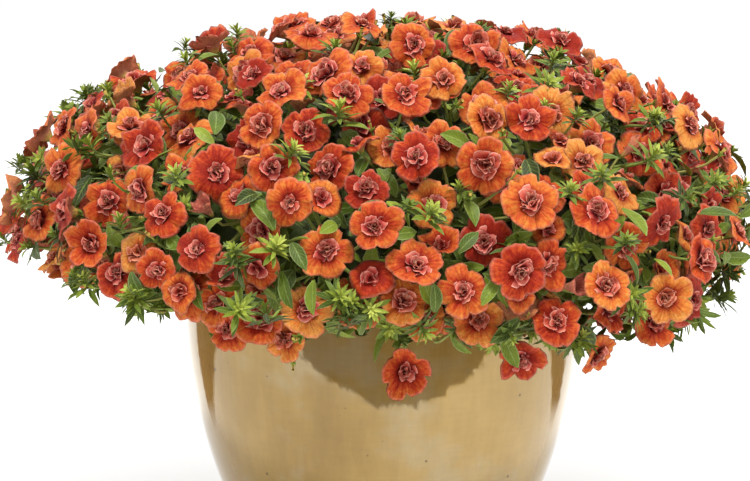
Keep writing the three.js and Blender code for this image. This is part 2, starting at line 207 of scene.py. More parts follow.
def bloom_under(start, group):
    """The bloom whose rosette has this flat top, or None where the top isn't a regular pentagon."""
    corners = sorted({v for face in group for v in face.verts}, key=lambda v: v.index)
    if len(group) != LOBES - 2 or len(corners) != LOBES:
        return None
    middle = sum((v.co for v in corners), Vector()) / LOBES
    reaches = [(v.co - middle).length for v in corners]
    if max(reaches) - min(reaches) > SAME_REACH:
        return None
    return {"centre": np.array(middle - start.normal * ROSETTE_RISE), "normal": np.array(start.normal),
            "radius": reaches[0] / ROSETTE_SHARE, "corner": np.array(corners[0].co - middle)}


def knot_of(solid, found):
    """The point that the stalks grow from: the middle of what isn't bloom."""
    far = [v.co for v in solid.verts
           if all((v.co - Vector(b["centre"])).length > OFF_BLOOM * b["radius"] for b in found)]
    far = far or [Vector(b["centre"] - UNDER_BLOOM * b["radius"] * b["normal"]) for b in found]
    return np.array(sum(far, Vector()) / len(far))


def blooms_of(node):
    """Each bloom of a spray as a dict, and the spray's knot."""
    solid = bmesh.new()
    solid.from_mesh(frame["nodes"][node].data)
    bmesh.ops.remove_doubles(solid, verts=solid.verts, dist=SAME_POINT)
    solid.normal_update()
    solid.verts.index_update()
    seen, found = set(), []
    for start in solid.faces:
        if start not in seen:
            group = flat_group(start)
            seen |= group
            found.append(bloom_under(start, group))
    found = [bloom for bloom in found if bloom]
    knot = knot_of(solid, found)
    solid.free()
    return found, knot


first_found, first_knot = blooms_of("bloom_spray_01")
print("the first spray has %d blooms on a knot at %s" % (len(first_found), first_knot.round(3)))

# %% All the blooms
SPRAYS = {name: blooms_of(name) for name in sorted(frame["nodes"]) if name.startswith("bloom_spray")}
HEADS = [bloom for found, _ in SPRAYS.values() for bloom in found]
CENTRES = np.array([b["centre"] for b in HEADS])
NORMALS = np.array([b["normal"] for b in HEADS])
RADII = np.array([b["radius"] for b in HEADS])
print("sprays: %d, blooms: %d, radius %.1f to %.1f mm"
      % (len(SPRAYS), len(HEADS), RADII.min() / MM, RADII.max() / MM))

# %% [markdown]
# ## Nodes written like sums
# A finish is a small program of nodes, and so is a rule that plants blooms. Both read best when a node's
# output can be added and multiplied like a number, so a wire knows how to do that, and a net adds nodes
# from a name and a few inputs. Every input takes a wire or a plain value.

# %% Wires
class Wire:
    """One output of a node. Sums and products with it add Math nodes to its net."""

    def __init__(self, net, socket):
        self.net, self.socket = net, socket

    def __add__(self, other):
        return self.net.math("ADD", self, other)

    def __sub__(self, other):
        return self.net.math("SUBTRACT", self, other)

    def __rsub__(self, other):
        return self.net.math("SUBTRACT", other, self)

    def __mul__(self, other):
        return self.net.math("MULTIPLY", self, other)

    def __truediv__(self, other):
        return self.net.math("DIVIDE", self, other)


print("wires can be added, subtracted, multiplied and divided")


# %% Nets
class Net:
    """A node tree that grows by calls."""

    def __init__(self, tree):
        self.tree = tree

    def put(self, socket, value):
        """Links a wire to a socket, or sets a plain value on it."""
        if isinstance(value, Wire):
            self.tree.links.new(value.socket, socket)
        else:
            socket.default_value = value

    def node(self, kind, inputs=None, **settings):
        made = self.tree.nodes.new(kind)
        for key, value in settings.items():
            setattr(made, key, value)
        for key, value in (inputs or {}).items():
            self.put(made.inputs[key], value)
        return made

    def wire(self, kind, inputs=None, output=0, **settings):
        """Adds a node and gives one of its outputs."""
        return Wire(self, self.node(kind, inputs, **settings).outputs[output])

    def math(self, operation, *values):
        return self.wire("ShaderNodeMath", dict(enumerate(values)), operation=operation)


print("a net has:", [name for name in vars(Net) if not name.startswith("__")])

# %% [markdown]
# ## Finishes in nodes
# On top of the net, a finish has a painter's tools: values kept on the points, soft steps, noise, colour
# ramps, mixes and bumps. Noise is measured in grains for each metre, so 500 gives grains of two
# millimetres. It reads the object's own coordinates, so it stays put on the piece.

# %% Reading, noise and mixing
def paint(code):
    """A linear colour from an everyday hex code."""
    parts = [int(code[i:i + 2], 16) / 255 for i in (1, 3, 5)]
    return tuple(p / 12.92 if p <= 0.04045 else ((p + 0.055) / 1.055) ** 2.4 for p in parts) + (1.0,)


class Palette(Net):
    """A net with a painter's tools."""

    def value(self, name):
        """A number kept on the points."""
        return self.wire("ShaderNodeAttribute", output="Fac", attribute_name=name)

    def triple(self, name):
        """Three numbers kept on the points."""
        kept = self.wire("ShaderNodeAttribute", output="Vector", attribute_name=name)
        split = self.node("ShaderNodeSeparateXYZ", {"Vector": kept})
        return [Wire(self, split.outputs[k]) for k in range(3)]

    def step(self, value, low, high):
        """0 below low, 1 above high, smooth between; low above high turns it round."""
        return self.wire("ShaderNodeMapRange", {
            "Value": value, "From Min": min(low, high), "From Max": max(low, high),
            "To Min": float(low > high), "To Max": float(low < high)}, interpolation_type="SMOOTHSTEP")

    def noise(self, scale, detail=2.0, rough=0.5, place=None):
        """Soft noise from 0 to 1, on the object's coordinates or at a place of its own."""
        spot = self.wire("ShaderNodeTexCoord", output="Object") if place is None else place
        return self.wire("ShaderNodeTexNoise", {
            "Vector": spot, "Scale": scale, "Detail": detail, "Roughness": rough})

    def ramp(self, value, stops):
        """A colour for a value, between stops of (value, colour)."""
        made = self.node("ShaderNodeValToRGB", {"Fac": value})
        band = made.color_ramp
        while len(band.elements) < len(stops):
            band.elements.new(0.5)
        for element, (at, code) in zip(band.elements, stops):
            element.position, element.color = at, paint(code)
        return Wire(self, made.outputs["Color"])

    def mix(self, share, first, second, way="MIX"):
        made = self.node("ShaderNodeMix", {"Factor": share}, data_type="RGBA", blend_type=way)
        for socket, colour in zip([s for s in made.inputs if s.type == "RGBA"], (first, second)):
            self.put(socket, paint(colour) if isinstance(colour, str) else colour)
        return Wire(self, [s for s in made.outputs if s.type == "RGBA"][0])

    def mottled(self, colour, share, grain, dark, light):
        """Darkens a colour in fine grains. dark and light: stops of the ramp that it is multiplied by."""
        return self.mix(share, colour, self.ramp(grain, (dark, light)), "MULTIPLY")


def around_zero(noise, reach):
    """Noise of 0 to 1 as a swing to both sides of zero."""
    return (noise - 0.5) * reach


print("brick red in linear light:", [round(part, 3) for part in paint("#92220f")])


# %% A finish
class Finish(Palette):
    """Builds one material."""

    def __init__(self, name):
        self.material = bpy.data.materials.new(name)
        self.material.use_nodes = True
        super().__init__(self.material.node_tree)
        self.shader = self.tree.nodes["Principled BSDF"]

    def bump(self, height, strength, distance):
        made = self.wire("ShaderNodeBump", {"Height": height, "Strength": strength, "Distance": distance})
        self.put(self.shader.inputs["Normal"], made)

    def done(self, colour, rough, **own):
        """The finished material. own: values of the shader's other sockets, such as Coat_Weight."""
        self.put(self.shader.inputs["Base Color"], colour)
        self.put(self.shader.inputs["Roughness"], rough)
        for key, value in own.items():
            self.shader.inputs[key.replace("_", " ")].default_value = value
        return self.material


print("a finish also has:", [name for name in vars(Finish) if not name.startswith("__")])

# %% [markdown]
# ## The velvet of the petals
# The collar runs from brick red to golden orange from bloom to bloom. It deepens towards its throat,
# fine dark veins run out along the lobes, and the rim fades to pink, partly its own colour and partly a
# painted highlight. Its back is paler, partly its own colour and partly painted light that stands for
# light through the petal. Rosette petals are a dusty rose, darkened at their feet as painted shade, with
# pale edges that are partly a painted highlight. A painted texture would be the same on every bloom. Here
# each point carries its place on the petal and its bloom's tone, and formulas draw the rest. So the veins
# follow the petal, and no two blooms match.

# %% Veins and streaks of the collar
VEIN_INK = "#6e1208"


def vein(f, angle, share, count, width):
    """Thin lines from the throat outwards, evenly round the collar, of one width all along."""
    off = f.math("ABSOLUTE", f.math("FRACT", angle * count + 0.5) - 0.5)
    return f.step(off * share * (TURN / count), width, width * 0.2)


def vein_lines(f, x, y, share):
    """Ten bold veins and thirty fine ones, a little wavy, that fade out towards the rim."""
    angle = f.math("ARCTAN2", y, x) / TURN + around_zero(f.noise(180, 1), 0.03)
    fine = vein(f, angle, share, 30, 0.02) * 0.2
    bold = vein(f, angle, share, 10, 0.028) * 0.36
    return f.math("MAXIMUM", fine, bold) * f.step(share, 1.15, 0.5)


def streaks_of(f, x, y, share, tone):
    """Noise drawn out from the throat to the rim, different for each bloom's tone."""
    inside = f.math("MAXIMUM", share, 0.05)
    drawn_out = f.wire("ShaderNodeCombineXYZ", {
        "X": x / inside * 6.0, "Y": y / inside * 6.0, "Z": share * 1.6 + tone * 40.0})
    return around_zero(f.noise(1.0, 3, 0.65, drawn_out), 1.1)


print("veins: 10 bold, 30 fine, in", VEIN_INK)

# %% Colours of collar, rosette and spent blooms
COLLAR_HUES = ((0.0, "#92220f"), (0.25, "#b33d18"), (0.5, "#c65d26"), (0.75, "#d07930"), (1.0, "#da9346"))
# Rosette and heart petals start dark at their foot, deep in the rosette: that dark end is painted shade.
ROSE_AND_PAINTED_SHADE_HUES = ((0.0, "#5a0a12"), (0.3, "#96242a"), (0.62, "#c24e46"), (1.0, "#e08a76"))
HEART_AND_PAINTED_SHADE_HUES = ((0.0, "#641418"), (0.5, "#b05a48"), (1.0, "#dfa688"))
SPENT_HUES = ((0.1, "#7c3330"), (0.5, "#a95c4c"), (0.9, "#cf9678"))


def collar_colour(f, share, tone, streaks):
    """The tone of the bloom, broken up by blotches and streaks, and deeper towards the throat."""
    blotches = around_zero(f.noise(75, 3, 0.6), 0.8) + around_zero(f.noise(330, 2, 0.6), 0.8)
    hue = tone + (blotches + streaks) + f.step(share, 0.9, 0.3) * -0.3
    return f.ramp(hue, COLLAR_HUES)


def rosette_colour(f, x, y, warm, collar):
    """Dusty rose from a painted shade at the foot to the end, here and there with the collar's warmth, and
    pale edges that are partly a painted highlight.
    """
    rose = f.ramp(x + around_zero(f.noise(200, 2), 0.5), ROSE_AND_PAINTED_SHADE_HUES)
    warmed = f.mix(warm * 0.36, rose, collar)
    # pale edges of the rosette petals: partly their own colour, partly painted highlight
    edge = f.math("MAXIMUM", f.step(f.math("ABSOLUTE", y), 0.8, 1.0), f.step(x, 0.88, 1.0))
    return f.mix(edge * 0.6, warmed, "#f5bcaa")


print("hues from %s to %s" % (COLLAR_HUES[0][1], COLLAR_HUES[-1][1]))

# %% Petal finish
def petal_finish():
    f = Finish("velvet_petal")
    x, y, _ = f.triple("place")
    back, green, heart = f.triple("blend")
    tone, warm, rosette = f.value("tone"), f.value("warm"), f.value("rosette")
    share = f.math("SQRT", x * x + y * y)
    lines, streaks = vein_lines(f, x, y, share), streaks_of(f, x, y, share, tone)
    collar = collar_colour(f, share, tone, streaks)
    throat = f.mix(f.step(share, 0.72, 0.2), collar, "#8a1c0f")
    # the rim fades to pale pink: partly its own colour, partly painted highlight
    faded = f.mix(f.step(share, 0.84, 1.03) * 0.45, throat, "#e8967c")
    veined = f.mix(lines, faded, VEIN_INK)
    # the back is lightened towards pale peach: partly its own paler colour, partly painted light that stands
    # for light through the petal
    pale_and_lit_back = f.mix(f.step(share, 0.35, 0.14), f.mix(0.66, veined, "#e8a07e"), "#c9a552")
    leafy = f.mix(green, f.mix(back, veined, pale_and_lit_back), "#8aa343")
    # the heart scraps darken towards their foot as painted shade
    inner = f.mix(heart, rosette_colour(f, x, y, warm, collar), f.ramp(x, HEART_AND_PAINTED_SHADE_HUES))
    spent = f.step(warm, 1.2, 1.8) * (0.75 - back * 0.45)
    spent_colour = f.ramp(f.noise(260, 3, 0.7) + streaks, SPENT_HUES)
    colour = f.mix(spent, f.mix(rosette, leafy, inner), spent_colour)
    f.bump(f.noise(700, 3, 0.6) - lines * 1.2, 0.6, 0.8 * MM)
    return f.done(f.mottled(colour, 0.45, f.noise(520, 3, 0.7), (0.3, "#926a5e"), (0.66, "#ffffff")), 0.6,
                  Sheen_Weight=0.02, Sheen_Roughness=0.5, Specular_IOR_Level=0.1)


PETAL = petal_finish()
print("finish:", PETAL.name, "nodes:", len(PETAL.node_tree.nodes))

# %% [markdown]
# ## Leaves and stems
# Calibrachoa leaves are small, soft and slightly downy. Young ones at the tips are yellow-green, old ones
# deep green. A pale midrib and faint side veins follow each leaf's own length and width. One formula
# serves leaves of every size and age, and stems as well, where a painted leaf would fit one shape only.

# %% Leaf finish
LEAF_HUES = ((0.0, "#2e3909"), (0.25, "#506410"), (0.5, "#77861c"), (0.75, "#9fab38"), (1.0, "#c8cd5c"))
GREEN_STEM, WOODY_STEM = "#8ba34a", "#a3834c"


def leaf_finish():
    f = Finish("downy_leaf")
    along, across, _ = f.triple("place")
    tone, warm = f.value("tone"), f.value("warm")
    age_and_shade, stem, _ = f.triple("blend")
    side = f.math("ABSOLUTE", across)
    # the first blend darkens older leaves, and darkens the bush's heart as painted shade
    green = f.ramp(tone + around_zero(f.noise(90, 2), 0.3) - age_and_shade, LEAF_HUES)
    rib = f.step(side, 0.14, 0.03) * 0.42
    side_vein = f.math("ABSOLUTE", f.math("FRACT", along * 7.0 - side * 2.2) - 0.5)
    veined = f.mix(f.step(side_vein, 0.14, 0.02) * 0.3, f.mix(rib, green, "#98a95c"), "#90a45a")
    downy = f.mix(f.step(side, 0.78, 1.0) * 0.34, veined, "#b5c18a")
    stalky = f.mix(stem, downy, f.mix(warm, GREEN_STEM, WOODY_STEM))
    f.bump(f.noise(800, 2) + rib * -1.5, 0.5, 0.6 * MM)
    return f.done(f.mottled(stalky, 0.4, f.noise(500, 3, 0.6), (0.3, "#8f9474"), (0.7, "#ffffff")), 0.5,
                  Sheen_Weight=0.02, Sheen_Roughness=0.5, Specular_IOR_Level=0.25)


LEAF = leaf_finish()
print("finish:", LEAF.name, "nodes:", len(LEAF.node_tree.nodes))

# %% [markdown]
# ## The collar of a bloom
# The collar is one sheet: five lobes joined almost to the rim, a funnel in the middle, and a rim that
# waves and curls back. It could be sculpted by hand once, but then every bloom would wave alike. Here its
# outline and its height are formulas of the angle, and each form takes its own numbers from a seed.
# Sizes are shares of the bloom's radius.

# %% What makes one collar differ from the next
AROUND = 40
RINGS = (0.16, 0.4, 0.62, 0.79, 0.91, 1.0)
WAVES = ((2, 0.13), (3, 0.13), (5, 0.08), (7, 0.06), (11, 0.035))


def collar_habit(dice, openness, around):
    """The numbers of one collar: its lobes, its waves, its frayed edge and how far it is open."""
    habit = SimpleNamespace(around=around)
    habit.length = dice.uniform(0.9, 1.06, LOBES)
    habit.tip = dice.uniform(-0.04, 0.06, LOBES)
    habit.tip[dice.integers(LOBES)] += dice.uniform(0.0, 0.16)
    habit.notch = dice.uniform(0.08, 0.18, LOBES)
    habit.lift = dice.normal(0, 0.12, LOBES)
    habit.lean = dice.normal(0, 0.05, LOBES)
    habit.waves = [(k, dice.uniform(0.4, 1.0) * size, dice.uniform(0, TURN)) for k, size in WAVES]
    habit.frill = dice.normal(0, 1, (2, around))
    habit.cup = (1 - openness) * 1.1
    habit.curl = dice.uniform(0.04, 0.15)
    habit.narrow = 1 - 0.35 * (1 - openness)
    return habit


print("lobe lengths of one habit:", collar_habit(np.random.default_rng(1), 1.0, AROUND).length.round(2))

# %% Outline and height of the collar
def lobe_at(angle):
    """Which lobe an angle lies on, and how far from its midline: -1 and 1 at the notches."""
    turn = (angle / TURN * LOBES) % LOBES
    return int(round(turn)) % LOBES, (turn - round(turn)) * 2


def frayed(habit, row, angle):
    return habit.frill[row][int(round(angle / TURN * habit.around)) % habit.around]


def collar_edge(habit, angle):
    """How far the rim reaches at an angle."""
    k, x = lobe_at(angle)
    edge = 1 - 0.05 * x * x - habit.notch[k] * abs(x) ** 6
    edge += habit.tip[k] * math.exp(-((x / 0.4) ** 2)) + 0.014 * frayed(habit, 0, angle)
    return edge * (habit.length[k] + (1 - habit.length[k]) * abs(x) ** 3) * habit.narrow


def collar_height(habit, angle, share):
    """Height at a share of the way out: funnel, fold of each lobe, waves, curled and frayed rim, cup."""
    k, x = lobe_at(angle)
    funnel = -0.4 * max(0.0, 1 - share / 0.46) ** 2
    fold = 0.045 * math.exp(-((x / 0.25) ** 2)) - 0.1 * math.exp(-(((abs(x) - 1) / 0.2) ** 2))
    fold += 0.018 * math.cos(3 * math.pi * x)
    wave = sum(size * math.sin(n * angle + at) for n, size, at in habit.waves) * share ** 2.4
    lobe = (habit.lift[k] * (1 - x * x) + habit.lean[k] * x * (1 - x * x)) * share ** 2
    curl = -habit.curl * max(0.0, share - 0.6) ** 2 / 0.16
    fray = 0.02 * frayed(habit, 1, angle) * max(0.0, share - 0.75) / 0.25
    return funnel + fold * share + wave + lobe + curl + fray + habit.cup * share ** 2


def collar_point(habit, angle, share, below=0.0):
    """A point of the collar. Near the middle the rings are round, and further out they follow the lobes."""
    roundness = min(1.0, share / 0.5)
    reach = share * (habit.narrow + (collar_edge(habit, angle) - habit.narrow) * roundness)
    return (reach * math.cos(angle), reach * math.sin(angle), collar_height(habit, angle, share) - below)


print("angle 0 and a notch lie on lobe, place:", lobe_at(0), lobe_at(TURN / 10 - 1e-6))

# %% [markdown]
# ## The back of a bloom
# Under the collar hangs a pale tube with a green calyx, whose five narrow sepals stand off. They are seen
# wherever a bloom is turned away or hangs over. The back runs from the rim inwards in rings with fewer
# and fewer points, which keeps the faces few where little shows.

# %% Sepals and back
BACK_RINGS = ((0.74, 20, 0.06), (0.42, 10, 0.08))  # share of the radius, points, distance below the front
TUBE = ((0.17, -0.38, 0), (0.12, -0.5, 0), (0.1, -0.56, 1), (0.05, -0.66, 1))  # reach, height, green or not
TUBE_SIDES = 8
SEPAL = ((0, 0, 0.05), (0.09, 0.14, 0.06), (0.17, 0.2, 0.012))  # out, up, half the width


def around_axis(count, reach=1.0, height=0.0):
    """Points evenly round the axis."""
    return [(reach * math.cos(TURN * k / count), reach * math.sin(TURN * k / count), height)
            for k in range(count)]


def sideways_and_ahead(azimuth):
    """Two level directions: to the left of an azimuth, and along it."""
    return (np.array([-math.sin(azimuth), math.cos(azimuth), 0]),
            np.array([math.cos(azimuth), math.sin(azimuth), 0]))


def add_sepals(sheets, height, reach, size=1.0):
    """Five narrow green sepals that stand off the foot of the tube."""
    for k in range(LOBES):
        side, ahead = sideways_and_ahead(TURN * (k + 0.5) / LOBES)
        points = [ahead * (reach + out * size) + side * half * size * t + UP * (height + rise * size)
                  for out, rise, half in SEPAL for t in (-1, 1)]
        sheets.grid(points, [(0.1, 0, 0)] * len(points), (1, 1, 0), len(SEPAL), 2)


def add_ring(sheets, points, places, blend):
    """A ring of points without faces yet; gives their numbers."""
    first = sheets.add(points, places, blend)
    return list(range(first, first + len(points)))


def add_back(habit, sheets, rim):
    """The collar's underside, its tube and its calyx, as bands between rings."""
    bands = [rim]
    for share, count, gap in BACK_RINGS:
        points = [collar_point(habit, TURN * k / count, share, gap) for k in range(count)]
        bands.append(add_ring(sheets, points, around_axis(count, share), (1, 0, 0)))
    for reach, height, green in TUBE:
        bands.append(add_ring(sheets, around_axis(TUBE_SIDES, reach, height), around_axis(TUBE_SIDES, reach),
                              (1, green, 0)))
    for outer, inner in zip(bands, bands[1:]):
        sheets.zip_rings(outer, inner)
    sheets.faces.append(tuple(reversed(bands[-1])))
    add_sepals(sheets, -0.62, 0.07)


print("the tube has %d rings of %d points" % (len(TUBE), TUBE_SIDES))

# %% [markdown]
# ## The rosette
# In the throat of a double bloom sit whorls of ruffled petals: broad and flat ones outside, narrow and
# upright ones inside, and a few curled scraps at the heart. Cloth physics could crease them, but slowly
# and with thousands of faces. Here each petal is a strip that walks outwards from its foot in small steps,
# leans over as it goes, twists a little and ends in a wavy edge.

# %% One petal
PETAL_BREADTH = ((0, 0.3, 0.65, 0.85, 1), (0.3, 0.72, 1.0, 0.98, 0.74))


def petal(dice, base, azimuth, length, width, foot_rise, end_rise, rows, columns, wrap):
    """Points and places of one petal that rises from near the axis; wrap bends it round the axis."""
    side, ahead = sideways_and_ahead(azimuth)
    spot = ahead * base
    ruffle, frill, phase = dice.uniform(0.05, 0.11), dice.uniform(1.2, 2.2), dice.uniform(0, TURN)
    skew, twist, dip = dice.uniform(-0.3, 0.3), dice.uniform(-0.6, 0.6), dice.uniform(0.0, 0.12)
    breadth = np.interp(np.linspace(0, 1, rows), *PETAL_BREADTH)
    points, places = [], []
    for r in range(rows):
        s = r / (rows - 1)
        rise = foot_rise + (end_rise - foot_rise) * s ** 0.9
        step = ahead * math.cos(rise) + UP * math.sin(rise)
        spot = spot + step * length / (rows - 1) * (r > 0)
        up = ahead * -math.sin(rise) + UP * math.cos(rise)
        half = 0.5 * width * breadth[r]
        across = side * math.cos(twist * s) + up * math.sin(twist * s)
        for c in range(columns):
            t = 2 * c / (columns - 1) - 1
            bump = ruffle * s * math.sin(frill * 2 * t + 2 * s + phase)
            end = -length * s * (0.3 * t * t + dip * math.exp(-((t / 0.3) ** 2)) - skew * 0.3 * t)
            points.append(spot + across * half * t + up * (bump + wrap * half * t * t) + step * end)
            places.append((s, t, 0))
    return points, places


print("a petal is broadest %.2f of the way out" % PETAL_BREADTH[0][np.argmax(PETAL_BREADTH[1])])

# %% Whorls of petals
WHORL_COLUMNS = ("petals", "heart", "base", "length", "width", "foot_rise", "end_rise", "rows", "columns",
                 "wrap", "low")
WHORLS = ((4, 0, 0.12, 0.44, 0.62, 1.0, 0.05, 5, 7, 0.2, -0.1),
          (4, 0, 0.08, 0.4, 0.5, 1.35, 0.55, 5, 6, 0.5, -0.08),
          (3, 0, 0.05, 0.36, 0.44, 1.5, 1.0, 5, 6, 0.8, -0.05),
          (2, 1, 0.03, 0.32, 0.3, 1.5, 1.2, 4, 5, 0.9, -0.03))
SMALL_WHORLS = ((4, 0, 0.12, 0.44, 0.62, 1.0, 0.1, 4, 5, 0.25, -0.1),
                (3, 0, 0.06, 0.4, 0.48, 1.4, 0.8, 4, 5, 0.7, -0.08))


def add_rosette(sheets, dice, whorls, size):
    """The whorls, together a little off the middle and tilted."""
    off = Vector((*dice.normal(0, 0.045, 2), 0))
    tilt = Matrix.Rotation(dice.normal(0, 0.16), 3, "X") @ Matrix.Rotation(dice.normal(0, 0.16), 3, "Y")
    for row in whorls:
        whorl = SimpleNamespace(**dict(zip(WHORL_COLUMNS, row)))
        start = dice.uniform(0, TURN)
        for k in range(whorl.petals):
            azimuth = start + TURN * (k + dice.uniform(-0.22, 0.22)) / whorl.petals
            points, places = petal(dice, whorl.base * dice.uniform(0.7, 1.3), azimuth,
                                   whorl.length * size * dice.uniform(0.8, 1.15),
                                   whorl.width * size * dice.uniform(0.85, 1.15),
                                   whorl.foot_rise + dice.uniform(-0.2, 0.2),
                                   whorl.end_rise + dice.uniform(-0.4, 0.4),
                                   whorl.rows, whorl.columns, whorl.wrap * dice.uniform(0.3, 1.4))
            moved = [tilt @ Vector((p[0], p[1], p[2] + whorl.low)) + off for p in points]
            sheets.grid(moved, places, (0, 0, whorl.heart), whorl.rows, whorl.columns)


print("petals in a rosette, and in a small one:",
      [sum(row[0] for row in rows) for rows in (WHORLS, SMALL_WHORLS)])

# %% [markdown]
# ## Whole blooms and buds
# Front, back and rosette together are one form. Ten forms serve the open blooms. Eight smaller and
# simpler ones, down to a nearly closed one, serve the young and fading blooms, and three closed buds
# have a green calyx, a pale tube and a swollen tip. So few are enough, because every planted copy gets
# its own turn, size and crumple.

# %% Bloom and bud forms
BUD = ((0.03, 0.0, 1), (0.075, 0.06, 1), (0.07, 0.2, 0.9),  # reach, height, how green
       (0.065, 0.36, 0.35), (0.1, 0.56, 0.15), (0.075, 0.68, 0.3))
BUD_SIDES = 7


def bloom_form(name, seed, openness=1.0, rosette_size=1.0, around=AROUND, rings=RINGS, whorls=WHORLS):
    """A bloom of radius one that looks along Z."""
    dice, sheets = np.random.default_rng(seed), Sheets()
    habit = collar_habit(dice, openness, around)
    angles = [TURN * k / around for k in range(around)]
    front = [collar_point(habit, a, share) for share in rings for a in angles]
    places = [(share * math.cos(a), share * math.sin(a), 0) for share in rings for a in angles]
    first = sheets.grid(front, places, (0, 0, 0), len(rings), around, closed=True, turned=True)
    sheets.faces.append(tuple(first + k for k in range(around)))
    rim = first + (len(rings) - 1) * around
    add_back(habit, sheets, list(range(rim, rim + around)))
    collar_points = len(sheets.points)
    add_rosette(sheets, dice, whorls, rosette_size)
    rosette = [0.0] * collar_points + [1.0] * (len(sheets.points) - collar_points)
    return sheets.object(name, rosette=rosette)


def bud_form(name, seed):
    """A closed bud, one unit long from its foot."""
    dice, sheets = np.random.default_rng(seed), Sheets()
    stretch = dice.uniform(0.75, 1.25)
    bands = [add_ring(sheets, around_axis(BUD_SIDES, reach, height * stretch), [(0.1, 0, 0)] * BUD_SIDES,
                      (1, green, 0)) for reach, height, green in BUD]
    for lower, upper in zip(bands, bands[1:]):
        sheets.zip_rings(lower, upper)
    sheets.faces += [tuple(reversed(bands[0])), tuple(bands[-1])]
    add_sepals(sheets, 0.02, 0.05, 1.3)
    return sheets.object(name, rosette=[0.0] * len(sheets.points))


print("a bud has %d rings of %d points" % (len(BUD), BUD_SIDES))

# %% Table of the forms
OPENNESS = (1.0, 1.0, 0.97, 1.0, 0.92, 1.0, 0.95, 1.0, 0.8, 0.65)
ROSETTES = (0.9, 1.0, 0.82, 1.05, 0.92, 0.78, 0.95, 1.1, 0.9, 0.9)
SMALL_OPENNESS = (0.95, 1.0, 0.9, 1.0, 0.7, 0.5, 0.3, 0.12)
SMALL_AROUND, SMALL_RINGS = 25, (0.2, 0.5, 0.78, 1.0)
YOUNG_FORMS = {"open": (10, 11, 12, 13), "half": (14, 15), "faded": (16, 17)}
FIRST_SMALL, FIRST_BUD, BUDS = 10, 18, 3
OPEN_SEED, SMALL_SEED, BUD_SEED = 100, 160, 130
FORM_NAME = "bloom_form_%02d"
BLOOM_FORMS = [bloom_form(FORM_NAME % k, OPEN_SEED + k, openness, size)
               for k, (openness, size) in enumerate(zip(OPENNESS, ROSETTES))]
BLOOM_FORMS += [bloom_form(FORM_NAME % (FIRST_SMALL + k), SMALL_SEED + k, openness, 0.5 + 0.5 * openness,
                           SMALL_AROUND, SMALL_RINGS, SMALL_WHORLS)
                for k, openness in enumerate(SMALL_OPENNESS)]
BLOOM_FORMS += [bud_form(FORM_NAME % (FIRST_BUD + k), BUD_SEED + k) for k in range(BUDS)]
print("bloom forms: %d, faces of an open one %d, of a small one %d, of a bud %d" % (
    len(BLOOM_FORMS), *(len(BLOOM_FORMS[k].data.polygons) for k in (0, FIRST_SMALL, FIRST_BUD))))

# %% [markdown]
# ## Planting with Geometry Nodes
# The same few forms are set out hundreds of times. One small tree does it for blooms, shoots and leaves
# alike: it puts a form on every point with that point's own turn and size, makes the copies real, and
# crumples them slightly with noise, so that no two look the same.

# %% Trees with named inputs
class Growth(Net):
    """A Geometry Nodes tree. inputs: {label: type of socket}."""

    def __init__(self, name, inputs):
        super().__init__(bpy.data.node_groups.new(name, "GeometryNodeTree"))
        for way in ("INPUT", "OUTPUT"):
            self.tree.interface.new_socket("Geometry", in_out=way, socket_type="NodeSocketGeometry")
        for label, kind in inputs.items():
            self.tree.interface.new_socket(label, in_out="INPUT", socket_type="NodeSocket" + kind)
        self.given, self.result = self.node("NodeGroupInput"), self.node("NodeGroupOutput")

    def input(self, label):
        return Wire(self, self.given.outputs[label])

    def stored(self, name, kind):
        """A value kept on the points."""
        made = self.node("GeometryNodeInputNamedAttribute", {"Name": name}, data_type=kind)
        return Wire(self, [s for s in made.outputs if s.name == "Attribute" and s.enabled][0])

    def pass_through(self, *steps):
        """Sends the geometry through nodes to the end. Each step is (type of node, its other inputs)."""
        geometry = self.input("Geometry")
        for kind, inputs in steps:
            made = self.node(kind, inputs)
            self.put(next(s for s in made.inputs if s.type == "GEOMETRY"), geometry)
            geometry = Wire(self, next(s for s in made.outputs if s.type == "GEOMETRY"))
        self.put(self.result.inputs["Geometry"], geometry)
        return self.tree


def input_names(tree):
    return [s.name for s in tree.interface.items_tree if s.in_out == "INPUT"]


print("a growth also has:", [name for name in vars(Growth) if not name.startswith("__")])

# %% The planting tree
def planting_tree():
    t = Growth("planting", {"Forms": "Collection", "Swell": "Float", "Crumple": "Float",
                            "Crumple Grain": "Float", "Seed": "Float", "Finish": "Material"})
    forms = t.wire("GeometryNodeCollectionInfo", {
        "Collection": t.input("Forms"), "Separate Children": True, "Reset Children": True})
    noise = t.wire("ShaderNodeTexNoise", {"W": t.input("Seed"), "Scale": t.input("Crumple Grain")},
                   output="Color", noise_dimensions="4D")
    centred = t.wire("ShaderNodeVectorMath", {0: noise, 1: (0.5, 0.5, 0.5)}, operation="SUBTRACT")
    push = t.wire("ShaderNodeVectorMath", {0: centred, "Scale": t.input("Crumple")}, operation="SCALE")
    return t.pass_through(
        ("GeometryNodeInstanceOnPoints", {
            "Instance": forms, "Pick Instance": True, "Instance Index": t.stored("form", "INT"),
            "Rotation": t.stored("turn", "FLOAT_VECTOR"),
            "Scale": t.stored("size", "FLOAT") * t.input("Swell")}),
        ("GeometryNodeRealizeInstances", {}),
        ("GeometryNodeSetPosition", {"Offset": push}),
        ("GeometryNodeSetMaterial", {"Material": t.input("Finish")}))


PLANTING = planting_tree()
print("planting tree inputs:", input_names(PLANTING))

# %% [markdown]
# ## Running a tree
# A tree works as a modifier on an object that carries the points. Its result is copied into a plain mesh
# and the modifier goes, so that the finished piece needs nothing else. The forms wait in a collection
# outside the scene, and are thrown away once every copy of them is real.

# %% From tree to plain mesh
ONLY_FOR_THE_TREE = ("turn", "size", "form", "thick")


def collection_of(name, objects):
    """The forms, away from the scene, in the order of their names."""
    made = bpy.data.collections.new(name)
    for o in objects:
        for owner in list(o.users_collection):
            owner.objects.unlink(o)
        made.objects.link(o)
    return made


def put_away(collection):
    for o in list(collection.objects):
        bpy.data.meshes.remove(o.data)
    bpy.data.collections.remove(collection)


